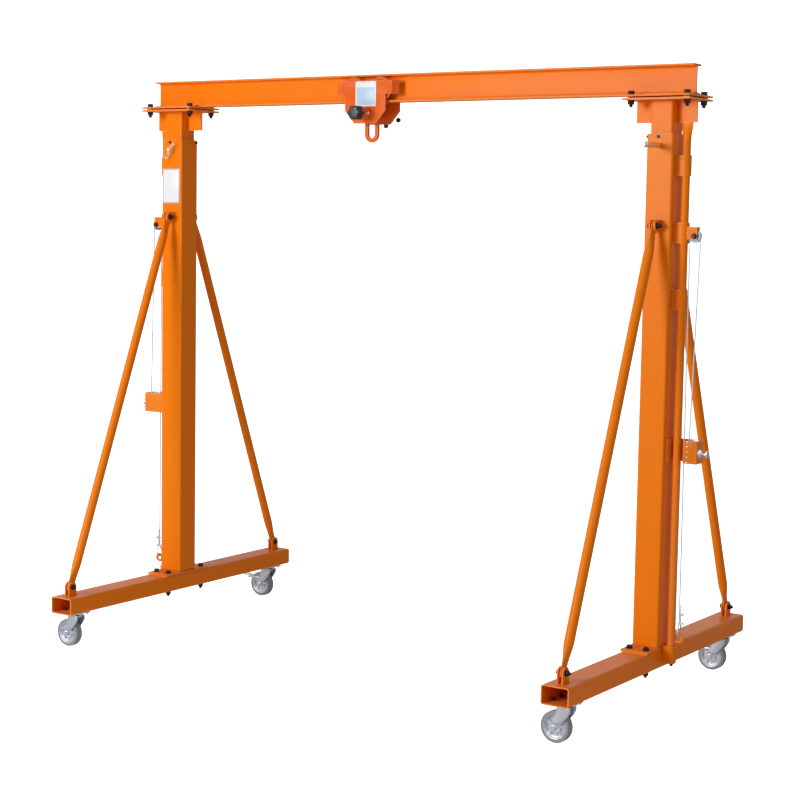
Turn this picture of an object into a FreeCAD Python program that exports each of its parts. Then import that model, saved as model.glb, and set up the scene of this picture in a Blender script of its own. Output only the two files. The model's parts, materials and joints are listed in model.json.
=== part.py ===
import FreeCAD, Part
import os
import re

import Sketcher

# Gantry crane with telescopic legs. X runs along the beam, Y along the base beams, Z up.
# The left leg is the right leg turned half a turn about the crane's centre line.

SIZES = {
    # overall
    "span": 2640,
    "beam_over": 130,
    "base_length": 1670,
    "caster_height": 172,
    "column_length": 2150,
    # base beam
    "base_width": 125,
    "base_height": 80,
    "base_wall": 5,
    "base_corner": 12,
    # outer column and its foot plate
    "column_side": 120,
    "column_wall": 5,
    "column_corner": 9,
    "foot_length": 320,
    "foot_thick": 10,
    # inner post and its head
    "post_gap": 5.5,
    "post_wall": 5,
    "post_corner": 8,
    "post_inside": 1400,
    "post_show": 136,
    "head_length": 304,
    "head_width": 228,
    "plate_thick": 8,
    "head_gap": 6,
    "head_bolt_x": 127,
    "head_bolt_y": 80,
    "spacer_radius": 15,
    "gusset_reach": 87,
    "gusset_height": 90,
    "gusset_thick": 10,
    # pin that holds the height, and the rows of holes it goes through
    "pin_radius": 12,
    "pin_drop": 50,
    "pin_clear": 0.5,
    "pin_out": 157,
    "pin_out_left": 55,
    "pin_tail": 34,
    "pin_short": 3,
    "clip_ring": 16,
    "clip_wire": 2,
    "clip_in": 8,
    "clip_drop": 5,
    "hole_pitch": 80,
    "hole_count": 7,
    # runway beam
    "beam_height": 126,
    "beam_width": 74,
    "beam_flange": 8.4,
    "beam_web": 6,
    # braces and their lugs
    "brace_radius": 21,
    "brace_wall": 3,
    "brace_flat": 14,
    "brace_flat_length": 64,
    "brace_swell": 90,
    "brace_foot_y": 772,
    "brace_foot_up": 42,
    "brace_head_out": 30,
    "brace_tuck": 3,
    "brace_oval": 0.02,
    "brace_head_drop": 378,
    "lug_gap": 16,
    "lug_thick": 6,
    "lug_radius": 25,
    "lug_bolt": 6.5,
    # lift tube on the outboard side of each leg
    "tube_out": 34,
    "tube_radius": 17,
    "tube_wall": 3,
    "tube_foot_down": 47,
    "tube_swell": 70,
    "tube_top_half": 27,
    "tube_oval": 0.02,
    "guide_height": 86,
    "guide_drop": 130,
    "guide_pitch": 276,
    "guide_wall": 3.5,
    "guide_clear": 1.5,
    "guide_flange": 66,
    "sleeve_height": 73,
    "sleeve_drop": 20,
    "sleeve_wall": 4,
    "sleeve_clear": 1.5,
    # ring plate at the foot of the lift tube
    "ring_out": 68,
    "ring_up": 55,
    "ring_hole": 11,
    "ring_radius": 22,
    "ring_thick": 8,
    # hoist rope, sheave and winch
    "rope_radius": 3,
    "sheave_out": 85,
    "sheave_drop": 418,
    "sheave_groove": 21,
    "sheave_radius": 27,
    "sheave_width": 14,
    "cheek_thick": 4,
    "bracket_past": 13,
    "bracket_room": 2,
    "bracket_height": 52,
    "bracket_below": 14,
    "axle_radius": 6,
    "running_clear": 0.1,
    "groove_clear": 0.3,
    "winch_in": 76,
    "winch_length": 62,
    "winch_width": 72,
    "winch_height": 96,
    "winch_wall": 5,
    "winch_drop": 1359,
    "winch_pad": 6,
    "winch_pad_width": 84,
    "winch_arm_lap": 8,
    "drum_radius": 17,
    "drum_flange": 24,
    "drum_out": 107,
    "drum_up": 24,
    "rope_turns": 5,
    "turn_pitch": 6.3,
    "ball_over": 0.1,
    "shaft_radius": 8,
    "shaft_head": 15,
    "drum_rim": 3,
    "drum_clear": 2,
    "shaft_out": 41,
    "shaft_cone": 25,
    "shaft_y": 12,
    "shaft_up": 43,
    # rope eye below the sheave
    "eye_top": 153,
    "loop_radius": 16,
    "clip_low": 54,
    "clip_pitch": 40,
    "clip_height": 14,
    "clip_width": 16,
    "clip_depth": 21,
    "tail_length": 108,
    "tail_apart": 0.5,
    # trolley
    "trolley_x": -165,
    "side_half": 146,
    "side_waist": 112,
    "side_foot": 60,
    "side_gap": 54,
    "side_thick": 8,
    "side_top": 28,
    "side_shoulder": 90,
    "side_chamfer": 164,
    "side_bottom": 222,
    "guard_reach": 40,
    "guard_angle": 45,
    "tread_clear": 0.2,
    "axle_collar": 6,
    "tread_radius": 48,
    "tread_width": 23,
    "tread_inner": 19,
    "rim_radius": 58,
    "rim_width": 7,
    "wheel_x": 73,
    "wheel_axle": 10,
    "rod_drop": 51,
    "rod_radius": 14,
    "rod_boss": 29,
    "rod_boss_length": 48,
    "rod_tail": 26,
    "knob_radius": 27,
    "knob_lobe": 7,
    "knob_lobes": 6,
    "knob_length": 46,
    "rod_clear": 0.5,
    "rod_spacer": 21,
    "rod_nut": 22,
    "rod_thread": 8,
    "link_width": 75,
    "link_thick": 14,
    "link_bar": 19,
    "link_length": 162,
    "link_clear": 1,
    # casters
    "caster_y": 735,
    "caster_trail": 42,
    "caster_wheel": 65,
    "caster_tread": 38,
    "caster_plate_x": 105,
    "caster_plate_y": 85,
    "caster_plate": 6,
    "race_radius": 32,
    "race_height": 12,
    "fork_top": 5,
    "fork_cheek": 4,
    "fork_gap": 46,
    "fork_axle": 7,
    "fork_width": 62,
    "fork_tip": 34,
    "axle_end": 6,
    "cheek_rise": 14,
    "hub_radius": 18,
    "pedal_reach": 46,
    "pedal_width": 40,
    "pedal_thick": 5,
    "pedal_root": 14,
    "pedal_up": 34,
    "pedal_arm": 12,
    "pedal_arm_up": 27,
    # modelling allowances: how far joined pieces sink in, how far cutters run past, sketch offset
    "lap": 1,
    "past": 10,
    "shy": 0.3,
    "outline_shift": 400,
}

doc = FreeCAD.newDocument("gantry_crane")
sheet = doc.addObject("Spreadsheet::Sheet", "Dims")
for row, (word, value) in enumerate(SIZES.items(), start=1):
    sheet.set("A%d" % row, word)
    sheet.set("B%d" % row, str(value))
    sheet.setAlias("B%d" % row, word)
doc.recompute()

WORDS = re.compile(r"\b(" + "|".join(sorted(SIZES, key=len, reverse=True)) + r")\b")
X_AXIS = FreeCAD.Vector(1, 0, 0)
Y_AXIS = FreeCAD.Vector(0, 1, 0)
Z_AXIS = FreeCAD.Vector(0, 0, 1)
CORNERS = ((1, 1), (1, -1), (-1, 1), (-1, -1))

# heights and places that several parts share
LEG_X = "(span / 2)"
BEAM_LENGTH = "(span + 2 * beam_over)"
BASE_TOP = "(caster_height + base_height)"
COLUMN_FOOT = "(%s + foot_thick)" % BASE_TOP
COLUMN_TOP = "(%s + column_length)" % COLUMN_FOOT
POST_SIDE = "(column_side - 2 * column_wall - 2 * post_gap)"
POST_TOP = "(%s + post_show)" % COLUMN_TOP
BEAM_BOTTOM = "(%s + 2 * plate_thick + head_gap)" % POST_TOP
PIN_Z = "(%s - pin_drop)" % COLUMN_TOP
OUT_FACE = "(span / 2 + column_side / 2)"
SHEAVE_X = "(%s + sheave_out)" % OUT_FACE
SHEAVE_Z = "(%s - sheave_drop)" % COLUMN_TOP
ROPE_RING = "(sheave_groove + rope_radius)"
TUBE_X = "(%s + tube_out)" % OUT_FACE
TUBE_FOOT = "(%s - tube_foot_down)" % BASE_TOP
GUIDE_RADIUS = "(tube_radius + guide_clear + guide_wall)"
GUIDE_BORE = "(tube_radius + guide_clear)"
RING_X = "(%s + ring_out)" % OUT_FACE
RING_Z = "(%s + ring_up)" % BASE_TOP
WINCH_Z = "(%s - winch_drop)" % COLUMN_TOP
DRUM_X = "(%s + drum_out)" % OUT_FACE
DRUM_Z = "(%s + winch_height / 2 + drum_up)" % WINCH_Z
WIND_RADIUS = "(drum_radius + groove_clear + rope_radius)"
ROD_Z = "(%s - rod_drop)" % BEAM_BOTTOM
WHEEL_Z = "(%s + beam_flange + tread_radius + tread_clear)" % BEAM_BOTTOM
FORK_TOP_Z = "(caster_height - caster_plate - race_height)"
CHEEK_OUT = "(fork_gap / 2 + fork_cheek)"


def rule_for(text):
    """A size rule with its words bound to the sheet."""
    return WORDS.sub(r"Dims.\1", str(text))


def bind(item, **rules):
    for prop, rule in rules.items():
        item.setExpression(prop, rule_for(rule))
    return item


def place(item, x="0", y="0", z="0"):
    for axis, rule in zip("xyz", (x, y, z)):
        item.setExpression("Placement.Base." + axis, rule_for(rule))
    return item


def tilt(item, axis, angle):
    """Turns a piece about an axis by a rule."""
    item.Placement.Rotation = FreeCAD.Rotation(axis, 1)
    item.setExpression("Placement.Rotation.Angle", rule_for(angle))
    return item


def block(name, size, corner):
    """A box from its size and its lowest corner."""
    item = doc.addObject("Part::Box", name)
    bind(item, Length=size[0], Width=size[1], Height=size[2])
    return place(item, *corner)


def centred(name, size, middle_x, middle_y, low_z):
    """A box centred in X and Y on a point."""
    low_x = "%s - (%s) / 2" % (middle_x, size[0])
    low_y = "%s - (%s) / 2" % (middle_y, size[1])
    return block(name, size, (low_x, low_y, low_z))


def rod(name, radius, length, start, axis=Z_AXIS):
    """A cylinder that runs from start along the axis."""
    item = doc.addObject("Part::Cylinder", name)
    bind(item, Radius=radius, Height=length)
    if axis == X_AXIS:
        item.Placement.Rotation = FreeCAD.Rotation(Y_AXIS, 90)
    if axis == Y_AXIS:
        item.Placement.Rotation = FreeCAD.Rotation(X_AXIS, -90)
    return place(item, *start)


def cross_rod(name, radius, length, x, middle_y, z):
    """A cylinder along Y, centred on middle_y."""
    return rod(name, radius, length, (x, "%s - (%s) / 2" % (middle_y, length), z), Y_AXIS)


def ring(name, radius, wire, x, y, z, axis):
    """A torus about an axis."""
    item = doc.addObject("Part::Torus", name)
    bind(item, Radius1=radius, Radius2=wire)
    if axis == Y_AXIS:
        item.Placement.Rotation = FreeCAD.Rotation(X_AXIS, 90)
    if axis == X_AXIS:
        item.Placement.Rotation = FreeCAD.Rotation(Y_AXIS, 90)
    return place(item, x, y, z)


def ball(name, radius, x, z):
    item = doc.addObject("Part::Sphere", name)
    bind(item, Radius=radius)
    return place(item, x, "0", z)


def fuse(name, pieces):
    item = doc.addObject("Part::MultiFuse", name)
    item.Shapes = pieces
    item.Refine = True
    return item


def cut(name, body, tools):
    item = doc.addObject("Part::Cut", name)
    item.Base = body
    item.Tool = tools[0] if len(tools) == 1 else fuse(name + "_tools", tools)
    item.Refine = True
    return item


def group(name, pieces):
    item = doc.addObject("Part::Compound", name)
    item.Links = pieces
    return item


def node(item, label, half_turn=False):
    """Names a finished sub-part; one of the left leg is turned half a turn about Z."""
    if half_turn:
        item.Placement = FreeCAD.Placement(FreeCAD.Vector(), FreeCAD.Rotation(Z_AXIS, 180))
    item.Label = label
    nodes.append(item)


def rounded_bar(name, side_u, side_v, radius, length, middle, axis=Z_AXIS):
    """A bar of rounded rectangular section: it stands on middle, or is centred on it along Y."""
    upright = axis == Z_AXIS
    x, across, start = middle if upright else (middle[0], middle[2], middle[1])
    if not upright:
        start = "%s - (%s) / 2" % (start, length)
    pieces = []
    flats = (("a", side_u, "%s - 2 * (%s)" % (side_v, radius)),
             ("b", "%s - 2 * (%s)" % (side_u, radius), side_v))
    for tag, wide, high in flats:
        low_u = "%s - (%s) / 2" % (x, wide)
        low_v = "%s - (%s) / 2" % (across, high)
        size = (wide, high, length) if upright else (wide, length, high)
        corner = (low_u, low_v, start) if upright else (low_u, start, low_v)
        pieces.append(block("%s_%s" % (name, tag), size, corner))
    for i, (su, sv) in enumerate(CORNERS):
        at_u = "%s + %d * ((%s) / 2 - (%s))" % (x, su, side_u, radius)
        at_v = "%s + %d * ((%s) / 2 - (%s))" % (across, sv, side_v, radius)
        foot = (at_u, at_v, start) if upright else (at_u, start, at_v)
        pieces.append(rod("%s_c%d" % (name, i), radius, length, foot, axis))
    return fuse(name, pieces)


def square_tube(name, side_u, side_v, wall, radius, length, middle, axis=Z_AXIS):
    """An open-ended tube of rounded rectangular section."""
    outer = rounded_bar(name + "_outer", side_u, side_v, radius, length, middle, axis)
    start = middle
    if axis == Z_AXIS:
        start = (middle[0], middle[1], "%s - past" % middle[2])
    inner = rounded_bar(name + "_inner", "%s - 2 * %s" % (side_u, wall),
                        "%s - 2 * %s" % (side_v, wall), "%s - %s" % (radius, wall),
                        "%s + 2 * past" % length, start, axis)
    return outer, inner


def upright_plate(name, corners, thick, middle_x, back_y, low_z):
    """A plate in an XZ plane, from corners about (middle_x, low_z), its far face at back_y."""
    outline = doc.addObject("Sketcher::SketchObject", name + "_outline")
    rules = [("%s + outline_shift" % u, "%s + outline_shift" % v) for u, v in corners]
    spots = [FreeCAD.Vector(value_of(u), value_of(v), 0) for u, v in rules]
    count = len(corners)
    for i in range(count):
        outline.addGeometry(Part.LineSegment(spots[i], spots[(i + 1) % count]), False)
    for i in range(count):
        outline.addConstraint(Sketcher.Constraint("Coincident", i, 2, (i + 1) % count, 1))
    for i, (u, v) in enumerate(rules):
        for kind, rule, now in (("DistanceX", u, spots[i].x), ("DistanceY", v, spots[i].y)):
            index = outline.addConstraint(Sketcher.Constraint(kind, -1, 1, i, 1, now))
            outline.setExpression("Constraints[%d]" % index, rule_for(rule))
    item = doc.addObject("Part::Extrusion", name)
    item.Base = outline
    item.DirMode = "Custom"
    item.Dir = Z_AXIS
    item.Solid = True
    bind(item, LengthFwd=thick)
    item.Placement.Rotation = FreeCAD.Rotation(X_AXIS, 90)
    return place(item, "%s - outline_shift" % middle_x, back_y, "%s - outline_shift" % low_z)


def value_of(rule):
    """The value that a rule has now, for the first drawing of an outline."""
    return float(sheet.evalExpression(rule_for(rule)))


def oval_stack(name, ovals):
    """A solid through ovals along Z, each (half Y, half X, x, z); the first half is never less."""
    sections = []
    for i, (half_y, half_x, x, z) in enumerate(ovals):
        oval = doc.addObject("Part::Ellipse", "%s_oval%d" % (name, i))
        bind(oval, MajorRadius=half_y, MinorRadius=half_x)
        oval.Placement.Rotation = FreeCAD.Rotation(Z_AXIS, 90)
        sections.append(place(oval, x, "0", z))
    item = doc.addObject("Part::Loft", name)
    item.Sections = sections
    item.Solid = True
    item.Ruled = True
    return item


nodes = []


def lug_pair(name, x, y, z, low_y, low_z, size_y, size_z):
    """Two lug plates in YZ planes around a brace end, round about the bolt, with its hole."""
    plates = []
    for side, tag in ((-1, "in"), (1, "out")):
        low_x = "%s + %d * (lug_gap / 2 + lug_thick / 2) - lug_thick / 2" % (x, side)
        title = "%s_%s" % (name, tag)
        plate = block(title + "_plate", ("lug_thick", size_y, size_z), (low_x, low_y, low_z))
        end = rod(title + "_round", "lug_radius", "lug_thick", (low_x, y, z), X_AXIS)
        hole = rod(title + "_hole", "lug_bolt", "3 * lug_thick",
                   ("%s - lug_thick" % low_x, y, z), X_AXIS)
        plates.append(cut(title, fuse(title + "_whole", [plate, end]), [hole]))
    return plates


def base_beam(leg, half_turn):
    """An open-ended tube with lugs for the braces and a socket for the foot of the lift tube."""
    name = leg + "_base"
    outer, inner = square_tube(name, "base_width", "base_height", "base_wall", "base_corner",
                               "base_length", (LEG_X, "0", "caster_height + base_height / 2"),
                               Y_AXIS)
    pieces = [cut(name + "_tube", outer, [inner])]
    for sign, tag in ((-1, "near"), (1, "far")):
        lug_y = "%d * brace_foot_y" % sign
        pieces += lug_pair("%s_lug_%s" % (name, tag), LEG_X, lug_y,
                           "%s + brace_foot_up" % BASE_TOP, "%s - lug_radius" % lug_y,
                           "%s - lap" % BASE_TOP, "2 * lug_radius", "brace_foot_up + lap")
    low = "(%s - sleeve_drop - sleeve_height / 2)" % BASE_TOP
    radius = "(tube_radius + sleeve_clear + sleeve_wall)"
    side_x = "(%s + base_width / 2)" % LEG_X
    shell = rod(name + "_shell", radius, "sleeve_height", (TUBE_X, "0", low))
    arm = block(name + "_arm", ("%s - %s + lap" % (TUBE_X, side_x), "2 * " + radius,
                                "sleeve_height"), ("%s - lap" % side_x, "-" + radius, low))
    bore = rod(name + "_socket_bore", "tube_radius + sleeve_clear", "sleeve_height + 2 * past",
               (TUBE_X, "0", "%s - past" % low))
    above = block(name + "_above", ("base_width / 2", "4 * tube_radius", "sleeve_height"),
                  (LEG_X, "-2 * tube_radius", BASE_TOP))
    pieces.append(cut(name + "_socket", fuse(name + "_socket_whole", [shell, arm]),
                      [bore, above]))
    node(fuse(name, pieces), leg + "_base_beam", half_turn)


def outer_column(leg, half_turn):
    """A square tube on a foot plate, with lugs for the braces and the pin's holes."""
    name = leg + "_column"
    outer, inner = square_tube(name, "column_side", "column_side", "column_wall",
                               "column_corner", "column_length", (LEG_X, "0", COLUMN_FOOT))
    hole = cross_rod(name + "_hole", "pin_radius + pin_clear", "column_side + 2 * past",
                     LEG_X, "0", PIN_Z)
    foot = centred(name + "_foot", ("base_width", "foot_length", "foot_thick + lap"),
                   LEG_X, "0", BASE_TOP)
    pieces = [cut(name + "_tube", outer, [inner, hole]), foot]
    lug_z = "(%s - brace_head_drop)" % COLUMN_TOP
    for sign, tag in ((-1, "near"), (1, "far")):
        lug_y = "%d * (column_side / 2 + brace_head_out)" % sign
        low_y = "column_side / 2 - lap" if sign > 0 else "-column_side / 2 - brace_head_out"
        pieces += lug_pair("%s_lug_%s" % (name, tag), LEG_X, lug_y, lug_z, low_y,
                           "%s - lug_radius" % lug_z, "brace_head_out + lap", "2 * lug_radius")
    node(fuse(name, pieces), leg + "_outer_column", half_turn)


def brace(leg, where, x_sign, y_sign):
    """A tube brace with both ends pressed flat between the lugs."""
    name = "%s_brace_%s" % (leg, where)
    run = "(brace_foot_y - column_side / 2 - brace_head_out)"
    rise = "(%s - brace_head_drop - %s - brace_foot_up)" % (COLUMN_TOP, BASE_TOP)
    length = "sqrt(%s ^ 2 + %s ^ 2)" % (run, rise)
    flat = ("lug_radius - brace_tuck", "brace_flat / 2")
    middle = ("(lug_radius - brace_tuck + 3 * brace_radius) / 4",
              "(brace_flat / 2 + 3 * brace_radius) / 4")
    tube = ("brace_radius + brace_oval", "brace_radius")
    tip = "(lug_radius - 2 * brace_tuck)"
    solid_end = "brace_flat_length / 2"
    half_way = "%s + brace_swell / 2" % solid_end
    shank_low = "(%s + brace_swell)" % solid_end
    rising = [(flat, "0 - " + tip), (flat, solid_end), (middle, half_way), (tube, shank_low)]
    falling = [(halves, "%s - (%s)" % (length, z)) for halves, z in reversed(rising)]
    whole = oval_stack(name + "_whole",
                       [(half_y, half_x, "0", z) for (half_y, half_x), z in rising + falling])
    bore = rod(name + "_bore", "brace_radius - brace_wall", "%s - 2 * %s" % (length, shank_low),
               ("0", "0", shank_low))
    holes = [rod(name + "_foot_hole", "lug_bolt", "4 * brace_radius",
                 ("-2 * brace_radius", "0", "0"), X_AXIS),
             rod(name + "_head_hole", "lug_bolt", "4 * brace_radius",
                 ("-2 * brace_radius", "0", length), X_AXIS)]
    item = cut(name, whole, [bore] + holes)
    tilt(item, X_AXIS, "%d * atan2(%s; %s)" % (y_sign, run, rise))
    place(item, "%d * %s" % (x_sign, LEG_X), "%d * brace_foot_y" % y_sign,
          "%s + brace_foot_up" % BASE_TOP)
    node(item, name)


def pulley_bracket(name):
    """The sheave's bracket, which is welded to the middle guide, and the sheave's axle."""
    cheek_gap = "(sheave_width / 2 + bracket_room)"
    half = "(%s + cheek_thick)" % cheek_gap
    arm_x = "(tube_out + %s)" % GUIDE_RADIUS
    reach = "(sheave_out + bracket_past - %s)" % arm_x
    low = "(%s - bracket_below)" % SHEAVE_Z
    root_x = "%s + %s" % (OUT_FACE, arm_x)
    pieces = []
    for tag, low_y in (("near", "-" + half), ("far", cheek_gap)):
        pieces.append(block("%s_cheek_%s" % (name, tag),
                            ("%s + cheek_thick" % reach, "cheek_thick", "bracket_height"),
                            ("%s - cheek_thick" % root_x, low_y, low)))
    pieces.append(block(name + "_bridge", ("cheek_thick", "2 * " + half, "bracket_height"),
                        (root_x, "-" + half, low)))
    pieces.append(block(name + "_cap", (reach, "2 * " + half, "cheek_thick"),
                        (root_x, "-" + half, "%s + bracket_height - cheek_thick" % low)))
    pieces.append(cross_rod(name + "_axle", "axle_radius", "2 * (%s + axle_end)" % half,
                            SHEAVE_X, "0", SHEAVE_Z))
    room = cross_rod(name + "_room", "sheave_radius + bracket_room",
                     "sheave_width + bracket_room", SHEAVE_X, "0", SHEAVE_Z)
    way = rod(name + "_way", "rope_radius + bracket_room", "bracket_below + past",
              ("%s - %s" % (SHEAVE_X, ROPE_RING), "0", "%s - past" % low))
    keep = cross_rod(name + "_keep", "axle_radius", "2 * " + cheek_gap, SHEAVE_X, "0", SHEAVE_Z)
    return [cut(name + "_cleared", fuse(name + "_whole", pieces), [room, way]), keep]


def tube_guides(leg, half_turn):
    """Three clips that guide the lift tube; the middle one carries the sheave's bracket."""
    clips = []
    for i in range(3):
        name = "%s_guide%d" % (leg, i)
        low = "(%s - guide_drop - guide_height / 2 - %d * guide_pitch)" % (COLUMN_TOP, i)
        shell = rod(name + "_shell", GUIDE_RADIUS, "guide_height", (TUBE_X, "0", low))
        neck = block(name + "_neck", ("tube_out", "2 * " + GUIDE_RADIUS, "guide_height"),
                     (OUT_FACE, "-" + GUIDE_RADIUS, low))
        flange = block(name + "_flange", ("guide_wall", "guide_flange", "guide_height"),
                       (OUT_FACE, "-guide_flange / 2", low))
        bore = rod(name + "_bore", GUIDE_BORE, "guide_height + 2 * past",
                   (TUBE_X, "0", "%s - past" % low))
        hollow = block(name + "_hollow", ("tube_out + past", "2 * " + GUIDE_BORE,
                                          "guide_height + 2 * past"),
                       ("%s - past" % OUT_FACE, "-" + GUIDE_BORE, "%s - past" % low))
        whole = fuse(name + "_whole", [shell, neck, flange])
        clips.append(cut(name + "_clip", whole, [bore, hollow]))
    clips[1] = fuse(leg + "_guide_middle", [clips[1]] + pulley_bracket(leg + "_bracket"))
    node(group(leg + "_guides", clips), leg + "_tube_guides", half_turn)


def inner_post(leg, half_turn):
    """The post that slides in the column, with its row of holes, head plate and gussets."""
    name = leg + "_post"
    low = "(%s - post_inside)" % COLUMN_TOP
    outer, inner = square_tube(name, POST_SIDE, POST_SIDE, "post_wall", "post_corner",
                               "(post_inside + post_show)", (LEG_X, "0", low))
    holes = [cross_rod("%s_hole%d" % (name, i), "pin_radius + pin_clear", "column_side",
                       LEG_X, "0", "%s - %d * hole_pitch" % (PIN_Z, i))
             for i in range(SIZES["hole_count"])]
    plate = centred(name + "_plate", ("head_length", "head_width", "plate_thick"),
                    LEG_X, "0", POST_TOP)
    pieces = [cut(name + "_tube", outer, [inner] + holes), plate]
    for tag, low_x in (("in", "%s - %s / 2 - gusset_reach" % (LEG_X, POST_SIDE)),
                       ("out", "%s + %s / 2 - lap" % (LEG_X, POST_SIDE))):
        pieces.append(block("%s_gusset_%s" % (name, tag),
                            ("gusset_reach + lap", "gusset_thick", "gusset_height"),
                            (low_x, "-gusset_thick / 2", "%s - gusset_height" % POST_TOP)))
    node(fuse(name + "_whole", pieces), leg + "_inner_post", half_turn)


def lift_tube(leg, half_turn):
    """The tube that lifts the post, pressed flat under the gusset, with a ring plate below."""
    name = leg + "_lifter"
    top = "(%s - gusset_height)" % POST_TOP
    shoulder = "(%s - tube_swell)" % top
    half_way = "(%s - tube_swell / 2)" % top
    whole = oval_stack(name + "_oval", [
        ("tube_radius", "tube_radius - tube_oval", "0", "0"),
        ("tube_radius", "tube_radius - tube_oval", "0", "%s - %s" % (shoulder, TUBE_FOOT)),
        ("(tube_radius + tube_top_half) / 2", "(2 * tube_radius + gusset_thick) / 4", "0",
         "%s - %s" % (half_way, TUBE_FOOT)),
        ("tube_top_half", "gusset_thick / 2", "0", "%s - %s" % (top, TUBE_FOOT))])
    inner = ("tube_radius - tube_wall", "tube_radius - tube_wall - tube_oval", "0")
    bore = oval_stack(name + "_bore", [inner + ("-past",),
                                       inner + ("%s - %s" % (shoulder, TUBE_FOOT),)])
    tube = group(name + "_tube", [cut(name + "_hollow", whole, [bore])])
    tube.Placement.Rotation = FreeCAD.Rotation(Z_AXIS, 90)
    place(tube, TUBE_X, "0", TUBE_FOOT)
    ring_low = "(%s - ring_radius)" % RING_Z
    tab = block(name + "_tab", ("%s - %s" % (RING_X, TUBE_X), "ring_thick", "2 * ring_radius"),
                (TUBE_X, "-ring_thick / 2", ring_low))
    disc = cross_rod(name + "_disc", "ring_radius", "ring_thick", RING_X, "0", RING_Z)
    eye = cross_rod(name + "_eye", "ring_hole", "ring_thick + past", RING_X, "0", RING_Z)
    clear = rod(name + "_clear", "tube_radius - tube_wall", "2 * ring_radius + 2 * past",
                (TUBE_X, "0", "%s - past" % ring_low))
    foot = cut(name + "_foot", fuse(name + "_foot_whole", [tab, disc]), [eye, clear])
    node(fuse(name, [tube, foot]), leg + "_lift_tube", half_turn)


def sheave(leg, half_turn):
    """A grooved wheel for the hoist rope."""
    name = leg + "_sheave"
    gap = "(rope_radius + groove_clear)"
    disc = cross_rod(name + "_disc", "sheave_radius", "sheave_width", SHEAVE_X, "0", SHEAVE_Z)
    groove = ring(name + "_groove", ROPE_RING, gap, SHEAVE_X, "0", SHEAVE_Z, Y_AXIS)
    slot = cross_rod(name + "_slot_out", "sheave_radius + past", "2 * " + gap,
                     SHEAVE_X, "0", SHEAVE_Z)
    core = cross_rod(name + "_slot_core", ROPE_RING, "2 * %s + lap" % gap,
                     SHEAVE_X, "0", SHEAVE_Z)
    bore = cross_rod(name + "_bore", "axle_radius + running_clear", "sheave_width + past",
                     SHEAVE_X, "0", SHEAVE_Z)
    open_slot = cut(name + "_slot", slot, [core])
    node(cut(name, disc, [groove, open_slot, bore]), leg + "_sheave", half_turn)


def strand(name, top, bottom):
    """A straight rope run in an XZ plane from a top point to a bottom point."""
    run = "((%s) - (%s))" % (bottom[0], top[0])
    fall = "((%s) - (%s))" % (top[1], bottom[1])
    item = doc.addObject("Part::Cylinder", name)
    bind(item, Radius="rope_radius", Height="sqrt(%s ^ 2 + %s ^ 2)" % (run, fall))
    tilt(item, Y_AXIS, "180 deg - atan2(%s; %s)" % (run, fall))
    return place(item, top[0], "0", top[1])


def hoist_rope(leg, half_turn, wound):
    """The rope that stays put: round the sheave, down to the drum, and its turns there."""
    name = leg + "_wire"
    over = ring(name + "_over", ROPE_RING, "rope_radius", SHEAVE_X, "0", SHEAVE_Z, Y_AXIS)
    over.Angle3 = 180
    top_x = "%s + %s" % (SHEAVE_X, ROPE_RING)
    end_x = "%s + %d * %s" % (DRUM_X, wound, WIND_RADIUS)
    run = strand(name + "_run", (top_x, "%s - shy" % SHEAVE_Z), (end_x, "%s + shy" % DRUM_Z))
    first = ring(name + "_first", WIND_RADIUS, "rope_radius", DRUM_X, "0", DRUM_Z, Y_AXIS)
    first.Angle3 = 270
    in_plane = FreeCAD.Rotation(Y_AXIS, 180 if wound < 0 else -90)
    first.Placement.Rotation = in_plane * first.Placement.Rotation
    balls = [ball(name + "_top_ball", "rope_radius + ball_over", top_x, SHEAVE_Z),
             ball(name + "_end_ball", "rope_radius + ball_over", end_x, DRUM_Z)]
    solids = [fuse(name + "_long", [over, run, first] + balls)]
    turns = SIZES["rope_turns"]
    for i in range(turns):
        if i != turns // 2:
            solids.append(ring("%s_turn%d" % (name, i), WIND_RADIUS, "rope_radius", DRUM_X,
                               "%d * turn_pitch" % (i - turns // 2), DRUM_Z, Y_AXIS))
    node(group(name, solids), leg + "_hoist_rope", half_turn)


def rope_run(leg, half_turn):
    """The rope from the sheave down to its eye, which shortens as the post rises."""
    name = leg + "_strand"
    run = strand(name, ("%s - %s" % (SHEAVE_X, ROPE_RING), SHEAVE_Z),
                 (RING_X, "%s + eye_top" % RING_Z))
    node(group(name + "_whole", [run]), leg + "_rope_run", half_turn)


def rope_eye(leg, half_turn):
    """The rope's end: a loop through the ring, its tail, and two clips."""
    name = leg + "_eye"
    loop_z = "(%s + ring_hole - rope_radius - groove_clear + loop_radius)" % RING_Z
    neck_z = "(%s + loop_radius - lap)" % loop_z
    tail_x = "%s + 2 * rope_radius + tail_apart" % RING_X
    pieces = [ring(name + "_loop", "loop_radius", "rope_radius", RING_X, "0", loop_z, X_AXIS),
              rod(name + "_main", "rope_radius", "%s + eye_top - %s" % (RING_Z, neck_z),
                  (RING_X, "0", neck_z)),
              rod(name + "_tail", "rope_radius", "tail_length", (tail_x, "0", neck_z))]
    for i in range(2):
        pieces.append(centred("%s_clip%d" % (name, i), ("clip_depth", "clip_width", "clip_height"),
                              "%s + rope_radius" % RING_X, "0",
                              "%s + clip_low + %d * clip_pitch" % (RING_Z, i)))
    node(fuse(name + "_whole", pieces), leg + "_rope_eye", half_turn)


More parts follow.
